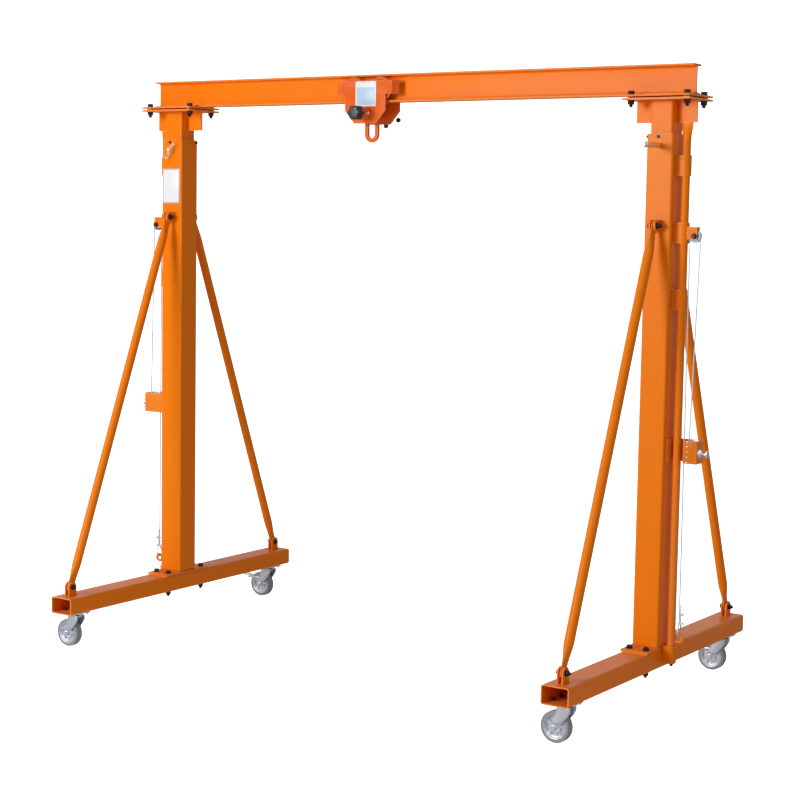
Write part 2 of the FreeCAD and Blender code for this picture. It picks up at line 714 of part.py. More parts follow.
def winch(leg, half_turn):
    """A hand winch: its frame on an arm, its drum, and its input shaft with a flared socket."""
    name = leg + "_winder"
    low_x = "(%s + winch_in)" % OUT_FACE
    shell = centred(name + "_shell", ("winch_length", "winch_width", "winch_height"),
                    "%s + winch_length / 2" % low_x, "0", WINCH_Z)
    inside = centred(name + "_inside", ("winch_length - winch_wall + past",
                                        "winch_width - 2 * winch_wall", "winch_height + past"),
                     "%s + (winch_length - winch_wall - past) / 2" % low_x, "0",
                     "%s + winch_wall" % WINCH_Z)
    arm = block(name + "_arm", ("winch_in + winch_arm_lap", "winch_wall", "winch_height"),
                (OUT_FACE, "winch_width / 2 - winch_wall", WINCH_Z))
    pad = block(name + "_pad", ("winch_pad", "winch_pad_width", "winch_height"),
                (OUT_FACE, "-winch_pad_width / 2", WINCH_Z))
    axle = cross_rod(name + "_axle", "axle_radius", "winch_width", DRUM_X, "0", DRUM_Z)
    frame = cut(name + "_frame", shell, [inside])
    node(fuse(name + "_whole", [frame, arm, pad, axle]), leg + "_winch_frame", half_turn)

    half = "(winch_width / 2 - winch_wall - drum_clear)"
    core = cross_rod(name + "_core", "drum_radius", "2 * " + half, DRUM_X, "0", DRUM_Z)
    rims = [rod("%s_rim%d" % (name, i), "drum_flange", "drum_rim", (DRUM_X, low_y, DRUM_Z), Y_AXIS)
            for i, low_y in enumerate(("-" + half, half + " - drum_rim"))]
    bore = cross_rod(name + "_bore", "axle_radius + running_clear", "winch_width",
                     DRUM_X, "0", DRUM_Z)
    drum = fuse(name + "_drum_whole", [core] + rims)
    node(cut(name + "_drum", drum, [bore]), leg + "_winch_drum", half_turn)

    face_x = "%s + winch_length" % low_x
    shaft_z = "%s + shaft_up" % WINCH_Z
    neck = rod(name + "_neck", "shaft_radius", "shaft_out", (face_x, "-shaft_y", shaft_z), X_AXIS)
    cone = doc.addObject("Part::Cone", name + "_cone")
    bind(cone, Radius1="shaft_radius", Radius2="shaft_head", Height="shaft_cone")
    cone.Placement.Rotation = FreeCAD.Rotation(Y_AXIS, 90)
    place(cone, "%s + shaft_out - shaft_cone" % face_x, "-shaft_y", shaft_z)
    node(fuse(name + "_shaft", [neck, cone]), leg + "_winch_shaft", half_turn)


def lock_pin(leg, half_turn, out):
    """The pin's two ends in the column's walls, which stop short of the post, and its ring."""
    name = leg + "_pin"
    inner_end = "(%s / 2 + pin_short)" % POST_SIDE
    handle = rod(name + "_handle", "pin_radius", "column_side / 2 + %s - %s" % (out, inner_end),
                 (LEG_X, "-column_side / 2 - " + out, PIN_Z), Y_AXIS)
    tail = rod(name + "_tail", "pin_radius", "column_side / 2 + pin_tail - %s" % inner_end,
               (LEG_X, inner_end, PIN_Z), Y_AXIS)
    clip = ring(name + "_clip", "clip_ring", "clip_wire", LEG_X,
                "column_side / 2 + pin_tail - clip_in", "%s - clip_drop" % PIN_Z, Y_AXIS)
    ends = [handle, fuse(name + "_kept", [tail, clip])]
    node(group(name + "_ends", ends), leg + "_lock_pin", half_turn)


def runway_beam():
    """The I-beam with a plate under each end, on spacers above the post's head plate."""
    pieces = []
    for i, low in enumerate((BEAM_BOTTOM, "%s + beam_height - beam_flange" % BEAM_BOTTOM)):
        pieces.append(centred("beam_flange_%d" % i, (BEAM_LENGTH, "beam_width", "beam_flange"),
                              "0", "0", low))
    pieces.append(centred("beam_web_plate", (BEAM_LENGTH, "beam_web", "beam_height"),
                          "0", "0", BEAM_BOTTOM))
    for tag, way in (("left", -1), ("right", 1)):
        middle_x = "%d * span / 2" % way
        pieces.append(centred("beam_plate_" + tag, ("head_length", "head_width", "plate_thick"),
                              middle_x, "0", "%s - plate_thick" % BEAM_BOTTOM))
        for i, (su, sv) in enumerate(CORNERS):
            foot = ("%s + %d * head_bolt_x" % (middle_x, su), "%d * head_bolt_y" % sv,
                    "%s - plate_thick - head_gap" % BEAM_BOTTOM)
            pieces.append(rod("beam_spacer_%s%d" % (tag, i), "spacer_radius",
                              "head_gap + lap", foot))
    node(fuse("beam", pieces), "i_beam")


def trolley_side(side, tag):
    """One side plate of the trolley: bent guards, two wheel axles and the cross rod's hole."""
    name = "side_" + tag
    foot = "0"
    chamfer = "side_bottom - side_chamfer"
    shoulder = "side_bottom - side_shoulder"
    top = "side_bottom - side_top"
    half = [("side_foot", foot), ("side_waist", chamfer), ("side_waist", shoulder),
            ("side_half", shoulder), ("side_half", top)]
    outline = half + [("-" + u, v) for u, v in reversed(half)]
    back_y = "side_gap + side_thick" if side > 0 else "-side_gap"
    pieces = [upright_plate(name + "_plate", outline, "side_thick", "trolley_x", back_y,
                            "%s + beam_height - side_bottom" % BEAM_BOTTOM)]
    middle_y = "%d * (side_gap + side_thick / 2)" % side
    axle_length = "(axle_collar + rim_width + tread_width)"
    axle_low = "side_gap - " + axle_length if side > 0 else "-side_gap"
    for end, way in (("left", -1), ("right", 1)):
        fold = block("%s_fold_%s" % (name, end),
                     ("side_thick", "guard_reach", "side_shoulder - side_top"),
                     ("-side_thick / 2", "-side_thick / 2", "0"))
        guard = group("%s_guard_%s" % (name, end), [fold])
        facing = "0 deg" if side < 0 else "180 deg"
        tilt(guard, Z_AXIS, "%d deg * guard_angle + %s" % (way * side, facing))
        place(guard, "trolley_x + %d * (side_half - side_thick / 2)" % way, middle_y,
              "%s + beam_height - side_shoulder" % BEAM_BOTTOM)
        axle = rod("%s_axle_%s" % (name, end), "wheel_axle", axle_length,
                   ("trolley_x + %d * wheel_x" % way, axle_low, WHEEL_Z), Y_AXIS)
        pieces += [guard, axle]
    hole = cross_rod(name + "_rod_hole", "rod_radius + rod_clear", "side_thick + past",
                     "trolley_x", middle_y, ROD_Z)
    node(cut(name, fuse(name + "_whole", pieces), [hole]), "trolley_%s_plate" % tag)


def trolley_rod():
    """The cross rod with its boss, spacers and nut, and the lobed knob on its end."""
    boss_low = "(-side_gap - side_thick - rod_boss_length)"
    spacer = "(side_gap - link_thick / 2 - link_clear)"
    pieces = [rod("rod_shank", "rod_radius",
                  "2 * (side_gap + side_thick) + rod_boss_length + rod_tail",
                  ("trolley_x", boss_low, ROD_Z), Y_AXIS),
              rod("rod_boss_ring", "rod_boss", "rod_boss_length",
                  ("trolley_x", boss_low, ROD_Z), Y_AXIS),
              rod("rod_spacer_near", "rod_spacer", spacer, ("trolley_x", "-side_gap", ROD_Z),
                  Y_AXIS),
              rod("rod_spacer_far", "rod_spacer", spacer,
                  ("trolley_x", "side_gap - " + spacer, ROD_Z), Y_AXIS),
              rod("rod_nut_far", "rod_nut", "rod_tail - rod_thread",
                  ("trolley_x", "side_gap + side_thick", ROD_Z), Y_AXIS)]
    node(fuse("rod_whole", pieces), "trolley_cross_rod")

    low = "%s - knob_length" % boss_low
    knob = [rod("knob_core", "knob_radius", "knob_length", ("trolley_x", low, ROD_Z), Y_AXIS)]
    lobes = SIZES["knob_lobes"]
    for i in range(lobes):
        angle = 360.0 / lobes * i
        knob.append(rod("knob_lobe%d" % i, "knob_lobe", "knob_length",
                        ("trolley_x + knob_radius * cos(%f)" % angle, low,
                         "%s + knob_radius * sin(%f)" % (ROD_Z, angle)), Y_AXIS))
    node(fuse("knob_whole", knob), "trolley_knob")


def trolley_wheel(side, tag, way, end):
    """A flanged wheel that runs on the lower flange, beside the web."""
    name = "wheel_%s_%s" % (tag, end)
    at_x = "trolley_x + %d * wheel_x" % way
    tread_y = "%d * (tread_inner + tread_width / 2)" % side
    rim_y = "%d * (tread_inner + tread_width + rim_width / 2)" % side
    tread = cross_rod(name + "_tread", "tread_radius", "tread_width", at_x, tread_y, WHEEL_Z)
    rim = cross_rod(name + "_rim", "rim_radius", "rim_width", at_x, rim_y, WHEEL_Z)
    bore = cross_rod(name + "_bore", "wheel_axle + running_clear",
                     "2 * (tread_width + rim_width)", at_x, rim_y, WHEEL_Z)
    node(cut(name, fuse(name + "_whole", [tread, rim]), [bore]), "trolley_" + name)


def load_link():
    """An oblong link that hangs on the cross rod."""
    half = "(link_width / 2)"
    slot_half = "(link_width / 2 - link_bar)"
    top_z = "(%s + rod_radius + rod_clear - %s)" % (ROD_Z, slot_half)
    low_z = "(%s - link_length + 2 * %s)" % (top_z, half)
    shapes = []
    for tag, radius, thick in (("body", half, "link_thick"),
                               ("slot", slot_half, "link_thick + past")):
        shapes.append(fuse("link_%s" % tag, [
            cross_rod("link_%s_top" % tag, radius, thick, "trolley_x", "0", top_z),
            cross_rod("link_%s_low" % tag, radius, thick, "trolley_x", "0", low_z),
            centred("link_%s_bars" % tag, ("2 * " + radius, thick, "%s - %s" % (top_z, low_z)),
                    "trolley_x", "0", low_z)]))
    node(cut("link", shapes[0], [shapes[1]]), "load_link")


def caster(leg, where, x_sign, y_sign, braked):
    """A swivel caster: plate with its race, fork, and wheel; the far ones have a pedal."""
    tag = "%s_%s" % (leg, where)
    x = "(%d * span / 2)" % x_sign
    y = "(%d * caster_y)" % y_sign
    plate = centred(tag + "_plate", ("caster_plate_x", "caster_plate_y", "caster_plate"),
                    x, y, "caster_height - caster_plate")
    race = rod(tag + "_race", "race_radius", "race_height - lap",
               (x, y, "%s + lap" % FORK_TOP_Z))
    node(fuse(tag + "_mount", [plate, race]), tag + "_caster_plate")

    wheel_x = "(%s - caster_trail)" % x
    pieces = [centred(tag + "_crown", ("fork_width", "2 * " + CHEEK_OUT, "fork_top"), x, y,
                      "%s - fork_top" % FORK_TOP_Z),
              cross_rod(tag + "_axle", "fork_axle", "2 * (%s + axle_end)" % CHEEK_OUT,
                        wheel_x, y, "caster_wheel")]
    outline = [("-caster_trail - fork_tip / 2", "caster_wheel"),
               ("-caster_trail + fork_tip / 2", "caster_wheel - cheek_rise"),
               ("fork_width / 2", FORK_TOP_Z),
               ("-fork_width / 2", FORK_TOP_Z)]
    for side in (-1, 1):
        back_y = "%s + %s" % (y, CHEEK_OUT) if side > 0 else "%s - fork_gap / 2" % y
        cheek_y = "%s + %d * (fork_gap / 2 + fork_cheek / 2)" % (y, side)
        pieces.append(upright_plate("%s_cheek%d" % (tag, side + 1), outline, "fork_cheek",
                                    x, back_y, "0"))
        pieces.append(cross_rod("%s_boss%d" % (tag, side + 1), "fork_tip / 2", "fork_cheek",
                                wheel_x, cheek_y, "caster_wheel"))
        if braked:
            pieces.append(centred("%s_pedal_arm%d" % (tag, side + 1),
                                  ("caster_wheel + 2 * pedal_root", "fork_cheek", "pedal_arm"),
                                  "%s - caster_wheel / 2" % wheel_x, cheek_y,
                                  "caster_wheel + pedal_arm_up"))
    if braked:
        root_x = "%s - caster_wheel - pedal_root / 2" % wheel_x
        pedal_z = "caster_wheel + pedal_up"
        pieces.append(centred(tag + "_pedal_bar", ("pedal_root", "2 * " + CHEEK_OUT,
                                                   "pedal_thick"), root_x, y, pedal_z))
        pieces.append(centred(tag + "_pedal", ("pedal_reach", "pedal_width", "pedal_thick"),
                              "%s - caster_wheel - pedal_reach / 2" % wheel_x, y, pedal_z))
    node(fuse(tag + "_fork", pieces), tag + "_caster_fork")

    tread = cross_rod(tag + "_tread", "caster_wheel", "caster_tread", wheel_x, y, "caster_wheel")
    hub = cross_rod(tag + "_hub", "hub_radius", "fork_gap - 2 * lap", wheel_x, y, "caster_wheel")
    bore = cross_rod(tag + "_bore", "fork_axle + running_clear", "fork_gap + past",
                     wheel_x, y, "caster_wheel")
    wheel = fuse(tag + "_wheel_whole", [tread, hub])
    node(cut(tag + "_wheel", wheel, [bore]), tag + "_caster_wheel")


for leg, half_turn, x_sign, wound in (("right", False, 1, -1), ("left", True, -1, 1)):
    base_beam(leg, half_turn)
    outer_column(leg, half_turn)
    tube_guides(leg, half_turn)
    inner_post(leg, half_turn)
    lift_tube(leg, half_turn)
    sheave(leg, half_turn)
    hoist_rope(leg, half_turn, wound)
    rope_run(leg, half_turn)
    rope_eye(leg, half_turn)
    winch(leg, half_turn)
    lock_pin(leg, half_turn, "pin_out" if x_sign > 0 else "pin_out_left")
    for where, y_sign in (("near", -1), ("far", 1)):
        brace(leg, where, x_sign, y_sign)
        caster(leg, where, x_sign, y_sign, where == "far")
runway_beam()
for tag, side in (("near", -1), ("far", 1)):
    trolley_side(side, tag)
    for end, way in (("left", -1), ("right", 1)):
        trolley_wheel(side, tag, way, end)
trolley_rod()
load_link()

doc.recompute()

for item in doc.Objects:
    if "Invalid" in item.State or "Error" in item.State:
        raise RuntimeError("%s is not computed: %s" % (item.Name, item.State))
for item in nodes:
    if item.Shape.isNull() or not item.Shape.isValid():
        raise RuntimeError("%s has no valid shape" % item.Label)

os.makedirs("parts", exist_ok=True)
for item in nodes:
    item.Shape.exportStep("parts/%s.step" % item.Label)
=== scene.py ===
import bpy
import json
from math import atan2, cos, pi, radians, sin, sqrt
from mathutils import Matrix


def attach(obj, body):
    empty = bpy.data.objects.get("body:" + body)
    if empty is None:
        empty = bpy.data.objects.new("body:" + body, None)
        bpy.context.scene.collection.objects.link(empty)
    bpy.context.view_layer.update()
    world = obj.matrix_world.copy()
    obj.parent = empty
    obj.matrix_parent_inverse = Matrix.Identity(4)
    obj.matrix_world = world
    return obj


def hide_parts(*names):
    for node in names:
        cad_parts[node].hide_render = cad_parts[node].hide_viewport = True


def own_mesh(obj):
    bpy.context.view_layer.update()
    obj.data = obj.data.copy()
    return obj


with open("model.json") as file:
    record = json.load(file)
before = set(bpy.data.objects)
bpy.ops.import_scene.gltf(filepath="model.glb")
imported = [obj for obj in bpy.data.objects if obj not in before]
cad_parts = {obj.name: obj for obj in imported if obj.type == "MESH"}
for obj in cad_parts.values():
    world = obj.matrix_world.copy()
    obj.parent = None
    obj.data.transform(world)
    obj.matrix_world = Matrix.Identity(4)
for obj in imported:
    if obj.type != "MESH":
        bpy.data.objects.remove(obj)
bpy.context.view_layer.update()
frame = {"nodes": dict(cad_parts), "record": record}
record = frame["record"]

LEGS = (("right", 1), ("left", -1))
SIDES = (("near", -1), ("far", 1))
SPAN = 1.32
CASTER_Y = 0.735


# ---------------------------------------------------------------- modelling helpers

def clear():
    bpy.ops.object.select_all(action="DESELECT")


def only(piece):
    clear()
    piece.select_set(True)
    bpy.context.view_layer.objects.active = piece


def begin(shape, name, **spec):
    """Adds a primitive at its size and place, selected alone."""
    clear()
    getattr(bpy.ops.mesh, "primitive_%s_add" % shape)(**spec)
    piece = bpy.context.object
    piece.name = piece.data.name = name
    return piece


def seat(piece):
    """Puts a piece's place, turn and scale into its mesh."""
    only(piece)
    bpy.ops.object.transform_apply(location=True, rotation=True, scale=True)
    return piece


def shift(piece, x=0, y=0, z=0, turn=(0, 0, 0)):
    """Turns a seated piece about the origin, then moves it."""
    piece.rotation_euler = turn
    piece.location = (x, y, z)
    return seat(piece)


def pick(piece, test, kind="FACE"):
    """Opens a piece in edit mode with only the parts that pass the test selected."""
    only(piece)
    bpy.ops.object.mode_set(mode="EDIT")
    bpy.ops.mesh.select_mode(type=kind)
    bpy.ops.mesh.select_all(action="DESELECT")
    bpy.ops.object.mode_set(mode="OBJECT")
    mesh = piece.data
    for part in {"FACE": mesh.polygons, "EDGE": mesh.edges, "VERT": mesh.vertices}[kind]:
        part.select = test(part)
    bpy.ops.object.mode_set(mode="EDIT")


def pick_all():
    """Opens the active piece in edit mode with all of it selected."""
    bpy.ops.object.mode_set(mode="EDIT")
    bpy.ops.mesh.select_all(action="SELECT")


def shut():
    bpy.ops.object.mode_set(mode="OBJECT")


def push(x=0, y=0, z=0):
    bpy.ops.mesh.extrude_region_move(TRANSFORM_OT_translate={"value": (x, y, z)})


def nudge(x=0, y=0, z=0):
    bpy.ops.transform.translate(value=(x, y, z))


def resize(x, y, z=1, level=0):
    """Scales what is selected about the point (0, 0, level)."""
    bpy.ops.transform.resize(value=(x, y, z), center_override=(0, 0, level))


def copy(piece, name, x=0, y=0, z=0, turn=(0, 0, 0)):
    """A copy with its own mesh, turned about the origin and moved."""
    only(piece)
    bpy.ops.object.duplicate(linked=False)
    twin = bpy.context.object
    twin.name = twin.data.name = name
    return shift(twin, x, y, z, turn)


def join(pieces, name):
    clear()
    for piece in pieces:
        piece.select_set(True)
    bpy.context.view_layer.objects.active = pieces[0]
    if len(pieces) > 1:
        bpy.ops.object.join()
    whole = bpy.context.object
    whole.name = whole.data.name = name
    return whole


def outward(piece):
    only(piece)
    pick_all()
    bpy.ops.mesh.remove_doubles(threshold=1e-5)
    bpy.ops.mesh.normals_make_consistent(inside=False)
    shut()
    return piece


def modify(piece, kind, **settings):
    """Adds a modifier, sets it and applies it."""
    only(piece)
    modifier = piece.modifiers.new(kind.lower(), kind)
    for key, value in settings.items():
        setattr(modifier, key, value)
    bpy.ops.object.modifier_apply(modifier=modifier.name)
    return piece


def smooth(piece, angle=35):
    only(piece)
    bpy.ops.object.shade_smooth_by_angle(angle=radians(angle))
    return piece


def soften(piece, width, segments=2, angle=35):
    """Rounds the sharp edges of a piece."""
    modify(piece, "BEVEL", width=width, segments=segments, limit_method="ANGLE",
           angle_limit=radians(angle), use_clamp_overlap=True)
    return smooth(piece, angle)


def polished(node, width, segments=2):
    """A copy of a frame node with its triangles merged and its edges rounded."""
    only(frame["nodes"][node])
    bpy.ops.object.duplicate(linked=False)
    piece = bpy.context.object
    piece.name = piece.data.name = node + "_finished"
    piece.parent = None
    pick_all()
    bpy.ops.mesh.remove_doubles(threshold=2e-5)
    bpy.ops.mesh.customdata_custom_splitnormals_clear()
    bpy.ops.mesh.dissolve_limited(angle_limit=radians(1), use_dissolve_boundaries=False)
    shut()
    soften(piece, width, segments)
    return piece


def stack(name, sections, count=24, closed=True):
    """A turned or pressed bar: ovals (z, half x, half y) joined in order along Z."""
    z, half_x, half_y = sections[0]
    piece = begin("circle", name, vertices=count, radius=1, fill_type="NGON" if closed else "NOTHING")
    piece.scale = (half_x, half_y, 1)
    piece.location.z = z
    seat(piece)
    bpy.ops.object.mode_set(mode="EDIT")
    bpy.ops.mesh.select_mode(type="VERT")
    bpy.ops.mesh.select_all(action="SELECT")
    for next_z, next_x, next_y in sections[1:]:
        push(z=next_z - z)
        resize(next_x / half_x, next_y / half_y, 1, next_z)
        z, half_x, half_y = next_z, next_x, next_y
    shut()
    return outward(piece)


def turned(name, sections, count=32):
    """A round piece from (z, radius) steps."""
    return stack(name, [(z, radius, radius) for z, radius in sections], count)


def ring_of(name, sections, count=48):
    """A round piece with a hole, from a closed loop of (z, radius) steps."""
    loop = list(sections) + [sections[0]]
    return stack(name, [(z, radius, radius) for z, radius in loop], count, closed=False)


def mirrored(side, middle=()):
    """A loop of (z, radius) steps from the steps of its upper side."""
    return [(-z, radius) for z, radius in side] + list(middle) + list(reversed(side))


def slab(name, low, high, width=0.0008, segments=2):
    """A plate or bar between two corners, with rounded edges."""
    middle = [(a + b) / 2 for a, b in zip(low, high)]
    piece = begin("cube", name, size=1, location=middle, scale=[b - a for a, b in zip(low, high)])
    seat(piece)
    return soften(piece, width, segments)


TO_X = (0, pi / 2, 0)
TO_MINUS_X = (0, -pi / 2, 0)
TO_Y = (-pi / 2, 0, 0)
TO_MINUS_Y = (pi / 2, 0, 0)
DOWN = (pi, 0, 0)
HALF_TURN = (0, 0, pi)


def hex_head(across, height, washer=0.0):
    """A hexagon head or nut on its washer, standing on the origin along Z."""
    piece = begin("cylinder", "hex_head", vertices=6, radius=across / sqrt(3), depth=height,
                  location=(0, 0, height / 2 + washer))
    seat(piece)
    pick(piece, lambda face: face.normal.z > 0.9)
    bpy.ops.mesh.inset(thickness=across * 0.07)
    nudge(z=height * 0.12)
    bpy.ops.mesh.inset(thickness=across * 0.12)
    nudge(z=-height * 0.06)
    shut()
    soften(piece, across * 0.02, 1, 25)
    if washer:
        disc = turned("washer", [(0, across * 0.55), (0, across * 0.66), (washer * 0.7, across * 0.66),
                                 (washer, across * 0.63), (washer, across * 0.4)], 24)
        piece = join([piece, smooth(disc)], "hex_head")
    return piece


def thread(radius, length, pitch=0.003):
    """A threaded shank from the origin up along Z."""
    steps = [(0, radius * 0.85)]
    z = 0
    while z < length - pitch:
        steps += [(z + pitch * 0.45, radius), (z + pitch * 0.55, radius), (z + pitch, radius * 0.86)]
        z += pitch
    steps += [(length, radius * 0.8)]
    return smooth(turned("thread", steps, 14), 60)


def bent_bar(name, points, radius, loop=False, resolution=6, sides=3):
    """A round bar or wire along a smooth run of points."""
    clear()
    bpy.ops.curve.primitive_nurbs_path_add()
    run = bpy.context.object
    run.name = name
    run.data.splines.clear()
    spline = run.data.splines.new("NURBS")
    spline.points.add(len(points) - 1)
    for point, place in zip(spline.points, points):
        point.co = (place[0], place[1], place[2], 1)
    spline.order_u = 3
    spline.use_cyclic_u = loop
    spline.use_endpoint_u = not loop
    spline.resolution_u = resolution
    run.data.dimensions = "3D"
    run.data.bevel_depth = radius
    run.data.bevel_resolution = sides
    run.data.use_fill_caps = True
    only(run)
    bpy.ops.object.convert(target="MESH")
    piece = bpy.context.object
    piece.data.name = name
    seat(piece)
    outward(piece)
    return smooth(piece, 60)


# ---------------------------------------------------------------- shader groups

def new_group(name, inputs, outputs):
    """A shader group with named number inputs and outputs, and its two end nodes."""
    tree = bpy.data.node_groups.new(name, "ShaderNodeTree")
    for title, value in inputs.items():
        socket = tree.interface.new_socket(title, in_out="INPUT", socket_type="NodeSocketFloat")
        socket.default_value = value
    for title in outputs:
        tree.interface.new_socket(title, in_out="OUTPUT", socket_type="NodeSocketFloat")
    return tree, tree.nodes.new("NodeGroupInput"), tree.nodes.new("NodeGroupOutput")


def add(tree, kind):
    return tree.nodes.new("ShaderNode" + kind)


def fill(step, **values):
    """Sets the inputs of a node; a space in an input's title is an underscore here."""
    for title, value in values.items():
        step.inputs[title.replace("_", " ")].default_value = value
    return step


def link(tree, start, end):
    tree.links.new(start, end)


def maths(tree, operation, first, second=None, clamp=False):
    """A maths node whose inputs are sockets or numbers."""
    step = add(tree, "Math")
    step.operation = operation
    step.use_clamp = clamp
    for index, value in enumerate((first, second)):
        if value is None:
            continue
        if isinstance(value, (int, float)):
            step.inputs[index].default_value = value
        else:
            link(tree, value, step.inputs[index])
    return step.outputs[0]


def noise(tree, scale, detail=3.0, roughness=0.5, stretch=None):
    """Noise on the object's own coordinates; scale is a number or a socket."""
    place = add(tree, "TexCoord")
    source = place.outputs["Object"]
    if stretch:
        mapping = add(tree, "Mapping")
        fill(mapping, Scale=stretch)
        link(tree, source, mapping.inputs["Vector"])
        source = mapping.outputs["Vector"]
    texture = add(tree, "TexNoise")
    link(tree, source, texture.inputs["Vector"])
    if isinstance(scale, (int, float)):
        fill(texture, Scale=scale)
    else:
        link(tree, scale, texture.inputs["Scale"])
    return fill(texture, Detail=detail, Roughness=roughness).outputs["Fac"]


def build_edge_wear_and_highlight():
    """A mask that is 1 along sharp edges, broken up by noise; metal and plastic use it for rubbed edges, enamel
    uses it for a painted highlight along its corners.
    """
    tree, start, end = new_group("Edge Wear And Highlight", {"Width": 0.003, "Amount": 0.6, "Breakup": 60.0}, ["Mask"])
    bevel = add(tree, "Bevel")
    bevel.samples = 6
    link(tree, start.outputs["Width"], bevel.inputs["Radius"])
    shape = add(tree, "NewGeometry")
    dot = add(tree, "VectorMath")
    dot.operation = "DOT_PRODUCT"
    link(tree, bevel.outputs["Normal"], dot.inputs[0])
    link(tree, shape.outputs["True Normal"], dot.inputs[1])
    bend = maths(tree, "SUBTRACT", 1.0, dot.outputs["Value"], clamp=True)
    sharp = maths(tree, "MULTIPLY", bend, 9.0, clamp=True)
    breakup = maths(tree, "ADD", noise(tree, start.outputs["Breakup"]), 0.35)
    broken = maths(tree, "MULTIPLY", sharp, breakup)
    link(tree, maths(tree, "MULTIPLY", broken, start.outputs["Amount"], clamp=True), end.inputs["Mask"])
    return tree


def build_mottle():
    """A slow drift and a fine grain, each from 0 to 1."""
    tree, start, end = new_group("Mottle", {"Drift Scale": 3.0, "Grain Scale": 500.0}, ["Drift", "Grain"])
    link(tree, noise(tree, start.outputs["Drift Scale"], 4.0), end.inputs["Drift"])
    link(tree, noise(tree, start.outputs["Grain Scale"], 2.0), end.inputs["Grain"])
    return tree


def build_dust():
    """A mask for the dust that lies on faces that look up."""
    tree, start, end = new_group("Dust", {"Amount": 0.3, "Scale": 9.0}, ["Mask"])
    shape = add(tree, "NewGeometry")
    split = add(tree, "SeparateXYZ")
    link(tree, shape.outputs["Normal"], split.inputs[0])
    upward = maths(tree, "SUBTRACT", split.outputs["Z"], 0.55, clamp=True)
    patch = maths(tree, "MULTIPLY", upward, noise(tree, start.outputs["Scale"], 5.0, 0.6))
    link(tree, maths(tree, "MULTIPLY", patch, maths(tree, "MULTIPLY", start.outputs["Amount"], 3.0),
                     clamp=True), end.inputs["Mask"])
    return tree


# The edge mask gives rubbed wear on metal and plastic, and a painted highlight on the enamel's corners.
EDGE_WEAR_AND_HIGHLIGHT = build_edge_wear_and_highlight()
MOTTLE = build_mottle()
DUST = build_dust()


def use(tree, group, **values):
    """Places a shader group in a material with its own values."""
    step = add(tree, "Group")
    step.node_tree = group
    return fill(step, **values)


def blend_colour(tree, factor, first, second):
    """Mixes two colours, each a tuple or a socket."""
    step = add(tree, "Mix")
    step.data_type = "RGBA"
    link(tree, factor, step.inputs["Factor"])
    for socket, value in ((step.inputs[6], first), (step.inputs[7], second)):
        if isinstance(value, tuple):
            socket.default_value = value + (1.0,)
        else:
            link(tree, value, socket)
    return step.outputs[2]


def span_of(tree, value, low, high):
    """Maps 0 to 1 onto low to high."""
    step = add(tree, "MapRange")
    link(tree, value, step.inputs["Value"])
    return fill(step, To_Min=low, To_Max=high).outputs[0]


def new_material(name):
    material = bpy.data.materials.new(name)
    material.use_nodes = True
    tree = material.node_tree
    return material, tree, tree.nodes["Principled BSDF"]


def bump(tree, shader, height, strength, distance):
    step = add(tree, "Bump")
    fill(step, Strength=strength, Distance=distance)
    link(tree, height, step.inputs["Height"])
    link(tree, step.outputs["Normal"], shader.inputs["Normal"])


PAINT_SPECULAR = 0.10
PAINT_COAT = 0.02


# On enamel the wear amount sets how strongly the painted edge highlight shows.
def enamel(name, colour, deep, roughness, wear_and_highlight=0.7, dust=0.12):
    """Gloss stove enamel: a slow drift of colour, a fine peel, and a painted highlight along its edges."""
    material, tree, shader = new_material(name)
    mottle = use(tree, MOTTLE, Drift_Scale=2.3, Grain_Scale=900.0)
    body = blend_colour(tree, span_of(tree, mottle.outputs["Drift"], 0.15, 0.85), colour, deep)
    # Painted highlight: the edge mask lightens the enamel towards cream along its rounded corners, in place of a
    # lamp's gleam.
    edge = use(tree, EDGE_WEAR_AND_HIGHLIGHT, Width=0.0060, Amount=wear_and_highlight, Breakup=70.0)
    bright = tuple(min(1.0, 0.18 + 1.15 * part) for part in colour)
    body_with_painted_highlight = blend_colour(tree, edge.outputs["Mask"], body, bright)
    lying = use(tree, DUST, Amount=dust, Scale=7.0)
    link(tree, blend_colour(tree, lying.outputs["Mask"], body_with_painted_highlight, (0.62, 0.55, 0.48)),
         shader.inputs["Base Color"])
    peel = noise(tree, 260.0, 2.0)
    rough = maths(tree, "ADD", span_of(tree, mottle.outputs["Drift"], roughness - 0.05, roughness + 0.09),
                  maths(tree, "MULTIPLY", lying.outputs["Mask"], 0.35))
    link(tree, rough, shader.inputs["Roughness"])
    bump(tree, shader, maths(tree, "ADD", peel, maths(tree, "MULTIPLY", mottle.outputs["Grain"], 0.2)),
         0.22, 0.0004)
    fill(shader, Specular_IOR_Level=PAINT_SPECULAR, Coat_Weight=PAINT_COAT, Coat_Roughness=0.15)
    return material


def metal(name, colour, deep, low, high, grain=(1, 1, 1), scale=120.0, strength=0.15, wear_and_highlight=0.4):
    """Bare or plated metal with a drawn or cast grain, blotches and rubbed edges."""
    material, tree, shader = new_material(name)
    streak = noise(tree, scale, 4.0, 0.6, grain)
    mottle = use(tree, MOTTLE, Drift_Scale=22.0, Grain_Scale=700.0)
    body = blend_colour(tree, span_of(tree, mottle.outputs["Drift"], 0.0, 1.0), colour, deep)
    shade = blend_colour(tree, maths(tree, "MULTIPLY", streak, 0.45), body, deep)
    edge = use(tree, EDGE_WEAR_AND_HIGHLIGHT, Width=0.0014, Amount=wear_and_highlight, Breakup=90.0)
    bright = tuple(min(1.0, part * 1.35 + 0.06) for part in colour)
    link(tree, blend_colour(tree, edge.outputs["Mask"], shade, bright), shader.inputs["Base Color"])
    fill(shader, Metallic=1.0)
    link(tree, span_of(tree, streak, low, high), shader.inputs["Roughness"])
    bump(tree, shader, maths(tree, "ADD", streak, maths(tree, "MULTIPLY", mottle.outputs["Grain"], 0.5)),
         strength, 0.0003)
    return material


